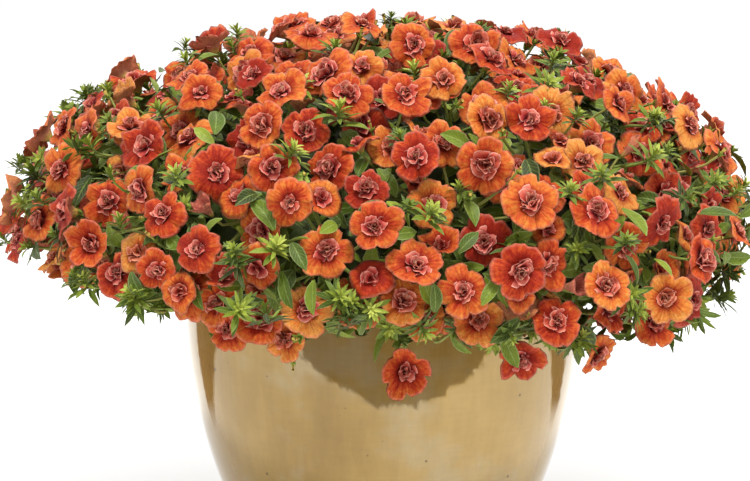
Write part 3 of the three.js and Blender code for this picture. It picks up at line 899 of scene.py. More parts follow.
def run_tree(carrier, tree, inputs):
    """Runs a tree on an object, and leaves it as a plain mesh with no modifier."""
    modifier = carrier.modifiers.new(tree.name, "NODES")
    modifier.node_group = tree
    for socket in tree.interface.items_tree:
        if socket.in_out == "INPUT" and socket.name in inputs:
            modifier[socket.identifier] = inputs[socket.name]
    graph = bpy.context.evaluated_depsgraph_get()
    mesh = bpy.data.meshes.new_from_object(carrier.evaluated_get(graph), preserve_all_data_layers=True,
                                           depsgraph=graph)
    carrier.modifiers.clear()
    carrier_mesh, carrier.data = carrier.data, mesh
    bpy.data.meshes.remove(carrier_mesh)
    for name in ONLY_FOR_THE_TREE:
        if name in mesh.attributes:
            mesh.attributes.remove(mesh.attributes[name])
    mesh.polygons.foreach_set("use_smooth", [True] * len(mesh.polygons))
    mesh.name = carrier.name
    return carrier


def triangles(o):
    o.data.calc_loop_triangles()
    return len(o.data.loop_triangles)


print("values that stay behind with the tree:", ONLY_FOR_THE_TREE)

# %% Planting forms on spots
def turn_of(facing, heading):
    """Euler turn that puts a form's Z on facing and its X near heading."""
    z = unit(facing)
    x = unit(np.asarray(heading) - z * float(np.dot(heading, z)))
    y = np.cross(z, x)
    return tuple(Matrix(np.column_stack([x, y, z]).tolist()).to_euler("XYZ"))


def planted(name, spots, forms, finish, swell=1.0, crumple=0.0, grain=60.0, seed=0.0):
    """spots: list of dicts with at, facing, heading, size, form, tone and warm."""
    values = {key: [s[key] for s in spots] for key in ("size", "tone", "warm")}
    values["turn"] = [turn_of(s["facing"], s["heading"]) for s in spots]
    carrier = piece_of(name, [s["at"] for s in spots], [], values)
    numbers = carrier.data.attributes.new("form", "INT", "POINT")
    numbers.data.foreach_set("value", [s["form"] for s in spots])
    return run_tree(carrier, PLANTING, {"Forms": forms, "Swell": swell, "Crumple": crumple,
                                        "Crumple Grain": grain, "Seed": seed, "Finish": finish})


print("turn that looks along X:", [round(a, 2) for a in turn_of((1, 0, 0), (0, 1, 0))])

# %% [markdown]
# ## Stalks and stems
# Every bloom stands on a thin green stalk that leaves the knot of its spray outwards and arrives under the
# bloom along its axis. A smooth curve with those two directions does that, and a second tree sweeps a ring
# along it, thicker at the foot than at the neck.

# %% The sweeping tree
def sweeping_tree():
    t = Growth("sweeping", {"Sides": "Int", "Finish": "Material"})
    ring = t.wire("GeometryNodeCurvePrimitiveCircle", {"Resolution": t.input("Sides"), "Radius": 1.0})
    return t.pass_through(
        ("GeometryNodeMeshToCurve", {}),
        ("GeometryNodeCurveToMesh", {"Profile Curve": ring, "Scale": t.stored("thick", "FLOAT"),
                                     "Fill Caps": True}),
        ("GeometryNodeRealizeInstances", {}),
        ("GeometryNodeSetMaterial", {"Material": t.input("Finish")}))


SWEEPING = sweeping_tree()
print("sweeping tree inputs:", input_names(SWEEPING))

# %% Curves, sweeping and joining
def bent_line(start, start_way, end, end_way, reach, count=7):
    """Points of a smooth curve that leaves start along start_way and arrives at end along end_way."""
    p0, p3 = np.asarray(start), np.asarray(end)
    p1, p2 = p0 + unit(start_way) * reach, p3 - unit(end_way) * reach
    return [(1 - t) ** 3 * p0 + 3 * (1 - t) ** 2 * t * p1 + 3 * (1 - t) * t * t * p2 + t ** 3 * p3
            for t in np.linspace(0, 1, count)]


def swept(name, lines, finish, sides=5):
    """lines: list of (points, thickness at each point, tone, warm)."""
    points, edges, values = [], [], {"thick": [], "tone": [], "warm": []}
    for spots, widths, tone, warm in lines:
        first, count = len(points), len(spots)
        points += spots
        edges += [(first + k, first + k + 1) for k in range(count - 1)]
        for key, row in (("thick", list(widths)), ("tone", [tone] * count), ("warm", [warm] * count)):
            values[key] += row
    carrier = piece_of(name, points, [], {**values, "blend": [(0, 1, 0)] * len(points)}, edges=edges)
    return run_tree(carrier, SWEEPING, {"Sides": sides, "Finish": finish})


def joined(name, objects):
    """One object out of several, with their finishes kept."""
    bpy.ops.object.select_all(action="DESELECT")
    for o in objects:
        o.select_set(True)
    bpy.context.view_layer.objects.active = objects[0]
    bpy.ops.object.join()
    objects[0].name = objects[0].data.name = name
    return objects[0]


print("middle of a bent line:", bent_line((0, 0, 0), UP, (1, 0, 0), -UP, 0.5)[3].round(3))

# %% [markdown]
# ## The shape of the mound
# The mound is a flattened ball that hangs lower at one side. An even spiral of points on it, each shaken a
# little, spreads leaves and younger blooms. The leaves inside it follow a smaller ball, the core. A leaf
# or shoot is left out where it would stand in a bloom's face or in the pot.

# %% An even spiral of points
GOLDEN_ANGLE = math.pi * (3 - math.sqrt(5))


def lattice(count, lowest, dice, shake):
    """Azimuths and latitudes, even by area on a ball that is a little flattened, and shaken."""
    low = math.sin(lowest)
    k = np.arange(count) + 0.5
    latitude = np.arcsin(np.clip(low + (1 - low) * k / count, -1, 1))
    azimuth = k * GOLDEN_ANGLE
    return (azimuth + dice.normal(0, shake, count) / np.maximum(0.15, np.cos(latitude)),
            np.clip(latitude + dice.normal(0, shake, count), lowest, math.pi / 2))


print("golden angle: %.1f degrees" % math.degrees(GOLDEN_ANGLE))

# %% The mound's and the core's surface
WAIST = 0.245
MOUND = {"radius": 0.247, "rise": 0.127, "sag": 0.03, "lift": 0.018, "short_at": -0.75 * math.pi,
         "drape": 0.036, "towards": -0.22 * math.pi, "narrowing": 2.2}
SWELLS = ((3, 0.022, 0.6), (5, 0.016, -1.1))  # waves round the mound: how many, how large, where
CORE = {"radius": 0.206, "rise": 0.09, "sag": 0.042}


def on_ball(azimuth, latitude, reach, height, radius, normal_height):
    """Points at a reach and a height, and the outward directions of a flattened ball there."""
    points = np.column_stack([reach * np.cos(azimuth), reach * np.sin(azimuth),
                              WAIST + height * np.sin(latitude)])
    return points, unit(np.column_stack([np.cos(azimuth) * np.cos(latitude) / radius,
                                         np.sin(azimuth) * np.cos(latitude) / radius,
                                         np.sin(latitude) / normal_height]))


def mound_surface(azimuth, latitude):
    below = latitude < 0
    facing = np.maximum(0, np.cos(azimuth - MOUND["towards"]))
    raised = np.maximum(0, np.cos(azimuth - MOUND["short_at"]))
    skirt = MOUND["sag"] + MOUND["drape"] * facing ** MOUND["narrowing"] - MOUND["lift"] * raised ** 2
    swell = 1 + sum(size * np.sin(count * azimuth + at) for count, size, at in SWELLS)
    reach = MOUND["radius"] * swell * np.cos(latitude) ** np.where(below, 0.7, 1.0)
    return on_ball(azimuth, latitude, reach, np.where(below, skirt, MOUND["rise"]), MOUND["radius"],
                   np.where(below, MOUND["sag"] + MOUND["drape"], MOUND["rise"]))


def core_surface(azimuth, latitude):
    height = np.where(latitude < 0, CORE["sag"], CORE["rise"])
    return on_ball(azimuth, latitude, CORE["radius"] * np.cos(latitude), height, CORE["radius"], height)


print("top of the mound: %.3f m" % mound_surface(np.zeros(1), np.full(1, math.pi / 2))[0][0, 2])

# %% Clear of blooms and pot
RIM_RADIUS, RIM_HEIGHT = 0.135, 0.212


def faces_clear(points, beside, behind, before):
    """False for points that stand in a bloom: nearer its axis than beside x radius, from behind to before."""
    away = points[:, None, :] - CENTRES[None]
    along = np.einsum("phk,hk->ph", away, NORMALS)
    aside = np.sqrt(np.maximum(0, np.einsum("phk,phk->ph", away, away) - along ** 2))
    return ~((aside < beside * RADII) & (along > -behind) & (along < before)).any(1)


def pot_clear(points, room):
    reach = np.hypot(points[:, 0], points[:, 1])
    return (reach > RIM_RADIUS + room) | (points[:, 2] > RIM_HEIGHT + room)


print("a point in the first bloom is clear:", bool(faces_clear(CENTRES[:1], 0.5, MM, MM)[0]))

# %% [markdown]
# ## Younger blooms in the gaps
# Between the open blooms, and a little below them, stand smaller ones: just open, half open or faded. They
# keep the mound from looking like a ball with rosettes stuck on. The spots of the spiral are tried in a
# random order, and a bloom goes wherever the ones before it leave room.

# %% Find the gaps
MOUND_MIDDLE = np.array([0, 0, 0.225])
GAPS = {"tries": 3000, "lowest": -0.9, "shake": 0.03, "deep": (-17 * MM, -4 * MM), "apart": 0.73,
        "size": (12 * MM, 15 * MM), "nod": 0.35, "lift": 0.2, "seed": 5}


def young_blooms():
    """Smaller blooms a little below the others, wherever the open blooms leave room for one."""
    dice, taken, young = np.random.default_rng(GAPS["seed"]), list(zip(CENTRES, RADII)), []
    points, normals = mound_surface(*lattice(GAPS["tries"], GAPS["lowest"], dice, GAPS["shake"]))
    for k in dice.permutation(len(points)):
        radius = dice.uniform(*GAPS["size"])
        at = points[k] + normals[k] * dice.uniform(*GAPS["deep"])
        if not pot_clear(at[None], radius)[0]:
            continue
        if all(np.linalg.norm(at - c) > GAPS["apart"] * (r + radius) for c, r in taken):
            taken.append((at, radius))
            facing = unit(normals[k] + dice.normal(0, GAPS["nod"], 3) + GAPS["lift"] * UP)
            young.append({"centre": at, "normal": facing, "radius": radius})
    return young


YOUNG = young_blooms()
CENTRES = np.vstack([CENTRES] + [b["centre"] for b in YOUNG])
NORMALS = np.vstack([NORMALS] + [b["normal"] for b in YOUNG])
RADII = np.append(RADII, [b["radius"] for b in YOUNG])
print("younger blooms:", len(YOUNG))

# %% [markdown]
# ## The sprays
# Every spray of the solids becomes one piece of fine blooms on curved stalks. The blooms keep their
# places, turn a little towards the light, and are a little larger than their solids, so that neighbours
# overlap as real ones do. Each young bloom joins the spray with the nearest knot, and two buds stand
# beside the open blooms of each spray. One piece for each spray keeps every piece in step with its solid.

# %% Colour and size of one bloom
TONES, TONE_ODDS = ((0.49, 0.12), (0.82, 0.1), (0.14, 0.1)), (0.61, 0.2, 0.19)
FADED_WARMTH, FADED_SIZE = 2.0, 0.72
bloom_dice = np.random.default_rng(21)


def bloom_spot(bloom, facing, heading, form, faded=False):
    """Where and how a form is planted: mostly orange, here and there golden or red."""
    tone = float(np.clip(bloom_dice.normal(*TONES[bloom_dice.choice(3, p=TONE_ODDS)]), 0.0, 1.0))
    size = bloom["radius"] * float(bloom_dice.uniform(0.9, 1.07)) * (FADED_SIZE if faded else 1.0)
    return {"at": bloom["centre"], "facing": facing, "heading": heading, "size": size, "form": form,
            "tone": tone, "warm": FADED_WARMTH if faded else float(bloom_dice.uniform(0, 1))}


print("share of orange, golden and red blooms:", TONE_ODDS)

# %% Each kind of bloom with its stalk
BLOOM_SWELL = 1.04
FORM_ODDS = (0.11, 0.11, 0.11, 0.11, 0.1, 0.1, 0.1, 0.1, 0.09, 0.07)
LIGHT, TURN_TO_LIGHT, NOD = np.array([0, -0.8, 0.6]), 0.3, 0.2
YOUNG_ODDS = {"open": 0.66, "half": 0.2, "faded": 0.14}
BUDS_A_SPRAY, BUD_SIZE, BUD_BELOW = 2, (9, 14), 6 * MM
STALK = {"neck": 0.64, "low": 1.3 * MM, "top": 0.8 * MM, "bend": 0.38, "outwards": 0.6, "tone": 0.55}


def stalk_to(knot, at, facing, drop):
    """A stalk from the knot to the foot of a bloom, drop below its middle."""
    neck = at - facing * drop
    leaving = unit(neck - knot) + unit(knot - MOUND_MIDDLE) * STALK["outwards"]
    line = bent_line(knot, leaving, neck, facing, STALK["bend"] * np.linalg.norm(neck - knot))
    widths = np.linspace(STALK["low"], STALK["top"], len(line))
    return line, widths, STALK["tone"], float(bloom_dice.uniform(0, 0.5))


def open_bloom(bloom, knot):
    lobe = TURN / 10 + TURN / LOBES * int(bloom_dice.integers(LOBES))
    heading = Matrix.Rotation(lobe, 3, Vector(bloom["normal"])) @ Vector(bloom["corner"])
    facing = unit(bloom["normal"] + TURN_TO_LIGHT * LIGHT + bloom_dice.normal(0, NOD, 3))
    form = int(bloom_dice.choice(len(FORM_ODDS), p=FORM_ODDS))
    spot = bloom_spot(bloom, facing, heading, form)
    return spot, stalk_to(knot, bloom["centre"], facing, bloom["radius"] * BLOOM_SWELL * STALK["neck"])


def young_bloom(bloom, knot):
    kind = str(bloom_dice.choice(list(YOUNG_ODDS), p=list(YOUNG_ODDS.values())))
    heading = bloom_dice.normal(0, 1, 3)
    form = int(bloom_dice.choice(list(YOUNG_FORMS[kind])))
    spot = bloom_spot(bloom, bloom["normal"], heading, form, faded=kind == "faded")
    return spot, stalk_to(knot, bloom["centre"], bloom["normal"], bloom["radius"] * STALK["neck"])


def bud_beside(found, knot):
    """A bud beside one of the open blooms of a spray, on a stalk of its own."""
    host = found[int(bloom_dice.integers(len(found)))]
    away = unit(np.cross(host["normal"], bloom_dice.normal(0, 1, 3)))
    at = host["centre"] + away * host["radius"] * bloom_dice.uniform(1.0, 1.25) - host["normal"] * BUD_BELOW
    facing = unit(host["normal"] + away * bloom_dice.uniform(0, 0.8) + 0.3 * UP)
    bud = {"centre": at, "radius": bloom_dice.uniform(*BUD_SIZE) * MM}
    spot = bloom_spot(bud, facing, away, FIRST_BUD + int(bloom_dice.integers(BUDS)))
    return spot, stalk_to(knot, at, facing, 0.0)


print("odds of the young blooms:", YOUNG_ODDS)

# %% Grow the sprays
BLOOM_CRUMPLE, BLOOM_GRAIN, BLOOM_NOISE = 5 * MM, 55.0, 2.0
knots = np.array([knot for _, knot in SPRAYS.values()])
youth_of = {node: [] for node in SPRAYS}
for bloom in YOUNG:
    nearest = int(np.argmin(np.linalg.norm(knots - bloom["centre"], axis=1)))
    youth_of[list(SPRAYS)[nearest]].append(bloom)

forms = collection_of("bloom_forms", BLOOM_FORMS)
bloom_triangles = 0
for node, (found, knot) in SPRAYS.items():
    grown = [bud_beside(found, knot) for _ in range(BUDS_A_SPRAY)]
    grown += [open_bloom(bloom, knot) for bloom in found]
    grown += [young_bloom(bloom, knot) for bloom in youth_of[node]]
    spots, lines = zip(*grown)
    heads = planted(node + "_blooms", spots, forms, PETAL, BLOOM_SWELL, BLOOM_CRUMPLE, BLOOM_GRAIN,
                    BLOOM_NOISE)
    stalks = swept(node + "_stalks", lines, LEAF)
    spray = joined(node.replace("bloom_spray", "blooms"), [heads, stalks])
    bloom_triangles += triangles(spray)
    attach(spray, "root")
    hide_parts(node)
put_away(forms)
print("sprays grown:", len(SPRAYS), "triangles:", bloom_triangles)

# %% [markdown]
# ## Leaves and shoots
# A leaf is a narrow blade folded along its midrib and curved back, with only a few faces, because there
# are thousands. A shoot tip is a star of them on a short stem: small yellow-green ones at the heart and
# longer ones round it.

# %% One leaf
LEAF_BREADTH = ((0, 0.2, 0.4, 0.6, 0.8, 1), (0.2, 0.68, 0.98, 0.96, 0.68, 0.06))


def add_leaf(sheets, root, azimuth, rise, length, width, droop, rows, columns, fold, roll, age_and_shade=0.0):
    """One blade from root towards azimuth, rising at an angle and bending down along its length."""
    side, ahead = sideways_and_ahead(azimuth)
    spot, points, places = np.asarray(root, float), [], []
    for r in range(rows):
        s = r / (rows - 1)
        lean = rise - droop * s
        step = ahead * math.cos(lean) + UP * math.sin(lean)
        up = ahead * -math.sin(lean) + UP * math.cos(lean)
        spot = spot + step * length / (rows - 1) * (r > 0)
        half = 0.5 * width * np.interp(s, *LEAF_BREADTH)
        across = side * math.cos(roll * s) + up * math.sin(roll * s)
        for c in range(columns):
            t = 2 * c / (columns - 1) - 1
            points.append(spot + across * half * t + up * fold * half * t * t)
            places.append((s, t, 0))
    sheets.grid(points, places, (age_and_shade, 0, 0), rows, columns)


def leaf_form(name, seed, rows, columns, width):
    """A single leaf, one unit long, from its foot towards X."""
    dice, sheets = np.random.default_rng(seed), Sheets()
    rise, breadth, droop = dice.uniform(0.1, 0.35), width * dice.uniform(0.9, 1.1), dice.uniform(0.3, 1.0)
    fold, roll = dice.uniform(0.15, 0.45), dice.uniform(-0.5, 0.5)
    add_leaf(sheets, (0, 0, 0), 0.0, rise, 1.0, breadth, droop, rows, columns, fold, roll)
    return sheets.object(name)


print("a leaf is broadest %.1f of the way out" % LEAF_BREADTH[0][np.argmax(LEAF_BREADTH[1])])

# %% One shoot tip
SHOOT_LEAVES, OLDEST = 24, 0.62


def shoot_form(name, seed):
    """A shoot tip, about one unit across each way, looking along Z."""
    dice, sheets = np.random.default_rng(seed), Sheets()
    for k in range(SHOOT_LEAVES):
        youth = k / (SHOOT_LEAVES - 1)
        size = (1.0 - 0.62 * youth) * dice.uniform(0.85, 1.15)
        azimuth = k * GOLDEN_ANGLE + dice.uniform(-0.3, 0.3)
        rise = 0.2 + 1.1 * youth + dice.uniform(-0.2, 0.2)
        width = (0.24 - 0.13 * youth) * dice.uniform(0.75, 1.15)
        droop, fold, roll = dice.uniform(0.1, 0.9), dice.uniform(0.15, 0.6), dice.uniform(-0.6, 0.6)
        add_leaf(sheets, (0, 0, 0.5 * youth - 0.45), azimuth, rise, 0.95 * size, width, droop, 5, 3,
                 fold, roll, age_and_shade=OLDEST * (1 - youth))
    return sheets.object(name)


def forms_of(kind, count, seed, make, *numbers):
    """A collection of forms of one kind, each with its own seed."""
    return collection_of(kind + "_forms", [make("%s_form_%d" % (kind, k), seed + k, *numbers)
                                           for k in range(count)])


LEAVES = forms_of("leaf", 4, 300, leaf_form, 5, 3, 0.38)
BROADS = forms_of("broad", 6, 320, leaf_form, 6, 5, 0.44)
SHOOTS = forms_of("shoot", 6, 340, shoot_form)

# %% [markdown]
# ## Layers of foliage
# From outside in there are pale shoot tips that stand up between the blooms, broad leaves under the
# blooms, a skirt of hanging leaves along the lower edge, a few large dark leaves, and a crowd of small
# ones on the core. Each layer is a spiral of points at its own depth, so one function grows them all from
# a few numbers.

# %% Rules that every layer follows
foliage_dice = np.random.default_rng(77)
BEFORE, TIPS_BEFORE = 14 * MM, 12 * MM
BLADE_TIPS = [(0.5, 0, 0.1), (0.95, 0, 0.1)]
STAR_TIPS = [(x, y, -0.1) for x, y, _ in around_axis(5, 0.7)] + [(0, 0, 0.4)]


def layer_points(how):
    """Points of a layer and their outward directions, where no bloom and no pot is in the way."""
    points, normals = how.surface(*lattice(how.tries, how.lowest, foliage_dice, how.shake))
    points = points + normals * foliage_dice.uniform(*how.level, how.tries)[:, None]
    free = faces_clear(points, how.beside, how.behind, BEFORE) & pot_clear(points, how.room)
    points, normals = points[free], normals[free]
    chosen = how.where(points)
    return points[chosen], normals[chosen]


def spots_on(points, normals, count, how):
    """Spots that face outwards and up, each leaning and headed its own way, for one of count forms."""
    spots = []
    for at, outward in zip(points, normals):
        wobble = foliage_dice.normal(0, how.lean, 3)
        heading = unit(foliage_dice.normal(0, 1, 3))
        spots.append({"at": at, "facing": unit(outward + how.lift * UP + wobble),
                      "heading": unit(heading - how.hang * UP) if how.hang else heading,
                      "size": float(foliage_dice.uniform(*how.size)),
                      "form": int(foliage_dice.integers(count)),
                      "tone": float(np.clip(foliage_dice.normal(*how.tone), 0, 1)),
                      "warm": float(foliage_dice.uniform())})
    return spots


def tips_clear(spots, how):
    """Keeps the spots whose tips, given in units of their size, stay away from the middle of every bloom."""
    tests = []
    for spot in spots:
        turn = np.array(Euler(turn_of(spot["facing"], spot["heading"])).to_matrix())
        tests.append([spot["at"] + turn @ (np.array(tip) * spot["size"]) for tip in how.tips])
    free = faces_clear(np.array(tests).reshape(-1, 3), how.tip_beside, how.tip_behind, TIPS_BEFORE)
    return [spot for spot, keep in zip(spots, free.reshape(len(spots), -1).all(1)) if keep]


print("tips tested on a blade: %d, on a shoot: %d" % (len(BLADE_TIPS), len(STAR_TIPS)))

# %% Growing one layer
def everywhere(points):
    return np.ones(len(points), bool)


def in_patches(points):
    """Shoots show in patches: a smooth swell over the mound leaves out the thin places."""
    x, y, z = np.asarray(points).T / (13 * MM)
    return (np.sin(x + 1.7 * np.sin(0.4 * z)) + np.sin(0.9 * y + 2.0) + np.sin(1.1 * z + 0.5 * x)) / 3 > -0.08


def along_lower_edge(points):
    return points[:, 2] < 0.222


USUAL = {"surface": mound_surface, "lowest": -0.95, "shake": 0.04, "behind": 6 * MM, "room": 6 * MM,
         "where": everywhere, "lean": 0.5, "lift": 0.35, "hang": 0, "tips": BLADE_TIPS, "tip_behind": 2 * MM,
         "crumple": 2 * MM, "grain": 60.0}


def layer(name, forms, **own):
    """Grows a layer, from the usual numbers and its own."""
    how = SimpleNamespace(**{**USUAL, **own})
    points, normals = layer_points(how)
    spots = tips_clear(spots_on(points, normals, len(forms.objects), how), how)
    print("%s: %d of %d spots" % (name, len(spots), how.tries))
    return planted(name, spots, forms, LEAF, 1.0, how.crumple, how.grain, how.noise), spots


print("usual lean and lift:", USUAL["lean"], USUAL["lift"])

# %% Grow the layers
shoots, shoot_spots = layer(
    "shoot_tips", SHOOTS, tries=1700, level=(-9 * MM, 12 * MM), shake=0.03, beside=0.94, behind=7 * MM,
    room=8 * MM, where=in_patches, size=(12 * MM, 20 * MM), tone=(0.8, 0.15), lean=0.45, lift=0.7,
    tips=STAR_TIPS, tip_beside=0.66, crumple=1.5 * MM, grain=120.0, noise=3.0)
broad, _ = layer(
    "broad_leaves", BROADS, tries=1700, level=(-26 * MM, 0), beside=0.85, size=(15 * MM, 26 * MM),
    tone=(0.34, 0.14), tip_beside=0.75, noise=4.0)
skirt, _ = layer(
    "skirt_leaves", BROADS, tries=2200, level=(-9 * MM, 3 * MM), beside=0.8, room=5 * MM,
    where=along_lower_edge, size=(16 * MM, 24 * MM), tone=(0.36, 0.14), lean=0.4, hang=1.2,
    tip_beside=0.85, tip_behind=4 * MM, noise=6.0)
large, _ = layer(
    "large_leaves", BROADS, tries=760, lowest=-0.9, level=(-12 * MM, 1 * MM), beside=0.88,
    size=(18 * MM, 26 * MM), tone=(0.17, 0.1), lean=0.45, lift=0.2, tip_beside=0.98, tip_behind=6 * MM,
    noise=7.0)
inner, _ = layer(
    "inner_leaves", LEAVES, tries=3000, lowest=-0.6, surface=core_surface, level=(-2 * MM, 14 * MM),
    shake=0.03, beside=0.5, behind=3 * MM, room=4 * MM, size=(14 * MM, 24 * MM), tone=(0.3, 0.14),
    lean=0.6, tip_beside=0.6, noise=5.0)
for used in (SHOOTS, BROADS, LEAVES):
    put_away(used)
print("shoots to be given stems:", len(shoot_spots))

# %% [markdown]
# ## Stems and the heart of the bush
# Every shoot tip ends a stem that comes out of the bush, and a glimpse between the leaves shows shade, not
# the far side. The stems are swept like the stalks. The shade is painted: a closed, lumpy body a little
# inside the core, in the darkest leaf green, so that no light shines through.

# %% Stems under the shoots
STEM = {"points": 6, "long": 30, "drop": 10, "shake": 5 * MM, "bend": 12 * MM,
        "low": 1.1 * MM, "top": 0.6 * MM, "tone": 0.6}


def shoot_stems():
    lines = []
    for spot in shoot_spots:
        at = spot["at"]
        outward = unit(at - MOUND_MIDDLE)
        root = (at - outward * STEM["long"] * MM - UP * foliage_dice.uniform(0, STEM["drop"]) * MM
                + foliage_dice.normal(0, STEM["shake"], 3))
        line = bent_line(root, outward, at, spot["facing"], STEM["bend"], STEM["points"])
        lines.append((line, np.linspace(STEM["low"], STEM["top"], STEM["points"]), STEM["tone"],
                      float(foliage_dice.uniform(0, 0.4))))
    return lines


stems = swept("shoot_stems", shoot_stems(), LEAF)
print("stem triangles:", triangles(stems))

# %% The dark heart
HEART = {"rows": 40, "columns": 96, "lowest": -1.2, "inside": 4 * MM, "lumps": 3 * MM, "over_rim": 1.5 * MM,
         "smooth_below": 6 * MM}


def bush_heart():
    rows, columns = HEART["rows"], HEART["columns"]
    azimuth, sheets = np.arange(columns) / columns * TURN, Sheets()
    points = []
    for r in range(rows):
        latitude = HEART["lowest"] + (math.pi / 2 - HEART["lowest"]) * (r + 0.5) / rows
        ring, out = core_surface(azimuth, np.full(columns, latitude))
        ring[:, 2] = np.maximum(ring[:, 2], RIM_HEIGHT + HEART["over_rim"])
        lumps = HEART["lumps"] * np.sin(9 * azimuth + 2 * r) * np.sin(5 * azimuth - r) - HEART["inside"]
        lumpy = ring[:, 2] > RIM_HEIGHT + HEART["smooth_below"]
        points += list(ring + out * lumps[:, None] * lumpy[:, None])
    count = len(points)
    # painted shade: the first blend darkens the leaf green, and tone 0 makes it the darkest
    sheets.grid(points, [(0.5, 0.5, 0)] * count, (0.3, 0, 0), rows, columns, closed=True)
    sheets.faces.append(tuple(range(columns))[::-1])
    sheets.faces.append(tuple(range(count - columns, count)))
    made = sheets.object("bush_heart", tone=[0.0] * count, warm=[0.0] * count)
    made.data.materials.append(LEAF)
    return made


outer_foliage = joined("leafy_shoots", [shoots, stems])
inner_foliage = joined("single_leaves", [inner, broad, large, skirt, bush_heart()])
for piece in (outer_foliage, inner_foliage):
    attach(piece, "root")
    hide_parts("foliage")
print("foliage triangles:", triangles(outer_foliage), triangles(inner_foliage))

# %% [markdown]
# ## The pot
# The pot is thrown clay under a tan glaze. Its wall is one outline turned round the axis, with a rounded
# lip and a bare foot. A Screw modifier would turn it too. Built directly, ring by ring, the wall can
# waver a little, as hands leave it.

# %% Outline of the pot
POT = {"height": 0.212, "rim": 0.135, "foot": 0.078, "curve": 2.3, "wall": 0.009, "floor": 0.012}
BASE = [(0.0, 0.0012), (0.066, 0.0012), (0.0672, 0.0), (0.0745, 0.0), (0.0765, 0.0009)]
OUTSIDE, INSIDE = (0.003, 0.206, 34), (0.2, POT["floor"] + 0.004, 12)  # from, to, rings


def wall_radius(height):
    return POT["rim"] - (POT["rim"] - POT["foot"]) * (1 - height / POT["height"]) ** POT["curve"]


def pot_outline():
    """Radius and height of each ring, from the middle of the base, up the outside and down the inside."""
    half = POT["wall"] / 2
    outside = [(wall_radius(h), h) for h in np.linspace(*OUTSIDE)]
    lip = [(POT["rim"] - half + half * math.cos(a), POT["height"] - half + half * math.sin(a))
           for a in np.linspace(0.1, 3.0, 9)]
    inside = [(wall_radius(h) - POT["wall"], h) for h in np.linspace(*INSIDE)]
    return BASE + outside + lip + inside + [(0.05, POT["floor"]), (0.0, POT["floor"])]


print("points of the outline: %d, radius halfway up: %.3f m"
      % (len(pot_outline()), wall_radius(POT["height"] / 2)))

# %% Turn it
def turned(name, outline, sides, waver=None):
    """A closed surface of revolution; its two ends lie on the axis."""
    points, faces = [(0, 0, outline[0][1])], []
    for radius, height in outline[1:-1]:
        for k in range(sides):
            angle = TURN * k / sides
            reach = radius + (waver(angle, height) if waver else 0)
            points.append((reach * math.cos(angle), reach * math.sin(angle), height))
    rings, top = len(outline) - 2, len(points)
    points.append((0, 0, outline[-1][1]))

    def at(ring, k):
        return 1 + ring * sides + k % sides

    for k in range(sides):
        faces.append((0, at(0, k + 1), at(0, k)))
        faces += [(at(r, k), at(r, k + 1), at(r + 1, k + 1), at(r + 1, k)) for r in range(rings - 1)]
        faces.append((at(rings - 1, k), at(rings - 1, k + 1), top))
    return piece_of(name, points, faces)


def hand_waver(angle, height):
    """The slight unevenness that hands leave on a thrown wall."""
    return 0.35 * MM * math.sin(2 * angle + 0.8 + 9 * height) + 0.12 * MM * math.sin(5 * angle + 60 * height)


POT_SIDES = 144
pot = turned("glazed_pot", pot_outline(), POT_SIDES, hand_waver)
print("pot triangles:", triangles(pot))

# %% [markdown]
# ## The glaze
# The glaze is a shiny, half metallic tan. It ran a little in the kiln. One side is painted lighter and
# more golden, as a lit side, and the other darker, as painted shade. It carries a grey veil in places,
# fine grain and a few dark specks. A painted texture would show its seam on a round wall, and noise in the
# pot's own space has none. A slow bump makes the reflections waver, and the coat gives the wet gloss on top.

# %% Glaze finish
# the tan of the painted shaded side, and the lighter, more golden tan of the painted lit side
SHADED_SIDE_TAN = ((0.3, "#83652d"), (0.5, "#947637"), (0.7, "#a38545"))
LIT_SIDE_TAN = ((0.3, "#937539"), (0.5, "#a38547"), (0.7, "#b09254"))
VEIL, SPECK, BARE_CLAY = "#a3987e", "#4a3218", "#a4764f"
SPECKS_A_METRE = 80.0


def glaze_finish():
    f = Finish("tan_glaze")
    spot = f.wire("ShaderNodeTexCoord", output="Object")
    across, _, height = (Wire(f, s) for s in f.node("ShaderNodeSeparateXYZ", {"Vector": spot}).outputs)

    def drawn_out(scale, detail=3, rough=0.6):
        """Noise with its own number of grains a metre along each axis."""
        return f.noise(1.0, detail, rough, f.wire("ShaderNodeMapping", {"Vector": spot, "Scale": scale}))

    runs = f.noise(9, 4, 0.6) * 0.6 + drawn_out((60, 60, 8)) * 0.4
    # painted light: the side towards +X is lighter and more golden, and the other side darker, as light and
    # shade would fall
    painted_lit_side = across + around_zero(f.noise(12, 3, 0.6), 0.12)
    base = f.mix(f.step(painted_lit_side, -0.03, 0.045), f.ramp(runs, SHADED_SIDE_TAN), f.ramp(runs, LIT_SIDE_TAN))
    veiled = f.mix(f.step(f.noise(11, 4, 0.65), 0.5, 0.66) * 0.4, base, VEIL)
    weave = drawn_out((420, 420, 40)) + drawn_out((60, 60, 380))
    grainy = f.mottled(veiled, 0.14, weave * 0.5, (0.35, "#a0a0a0"), (0.6, "#ffffff"))
    dots = f.wire("ShaderNodeTexVoronoi", {"Vector": spot, "Scale": SPECKS_A_METRE}, output="Distance",
                  feature="F1")
    speck = f.step(dots, 0.1, 0.05) * f.step(f.noise(31, 0), 0.52, 0.55)
    specked = f.mix(speck * 0.85, grainy, SPECK)
    footed = f.mix(f.step(height, 0.0035, 0.002), specked, BARE_CLAY)
    ripple = drawn_out((150, 150, 30)) * 0.09 + f.noise(60, 2) * 0.06
    f.bump(f.noise(14, 3, 0.5) + ripple, 0.3, 4 * MM)
    return f.done(footed, 0.06, Metallic=0.42, Coat_Weight=0.5, Coat_Roughness=0.02, Coat_IOR=1.5)


pot.data.materials.append(glaze_finish())
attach(pot, "root")
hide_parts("pot")
print("finish:", pot.data.materials[0].name)

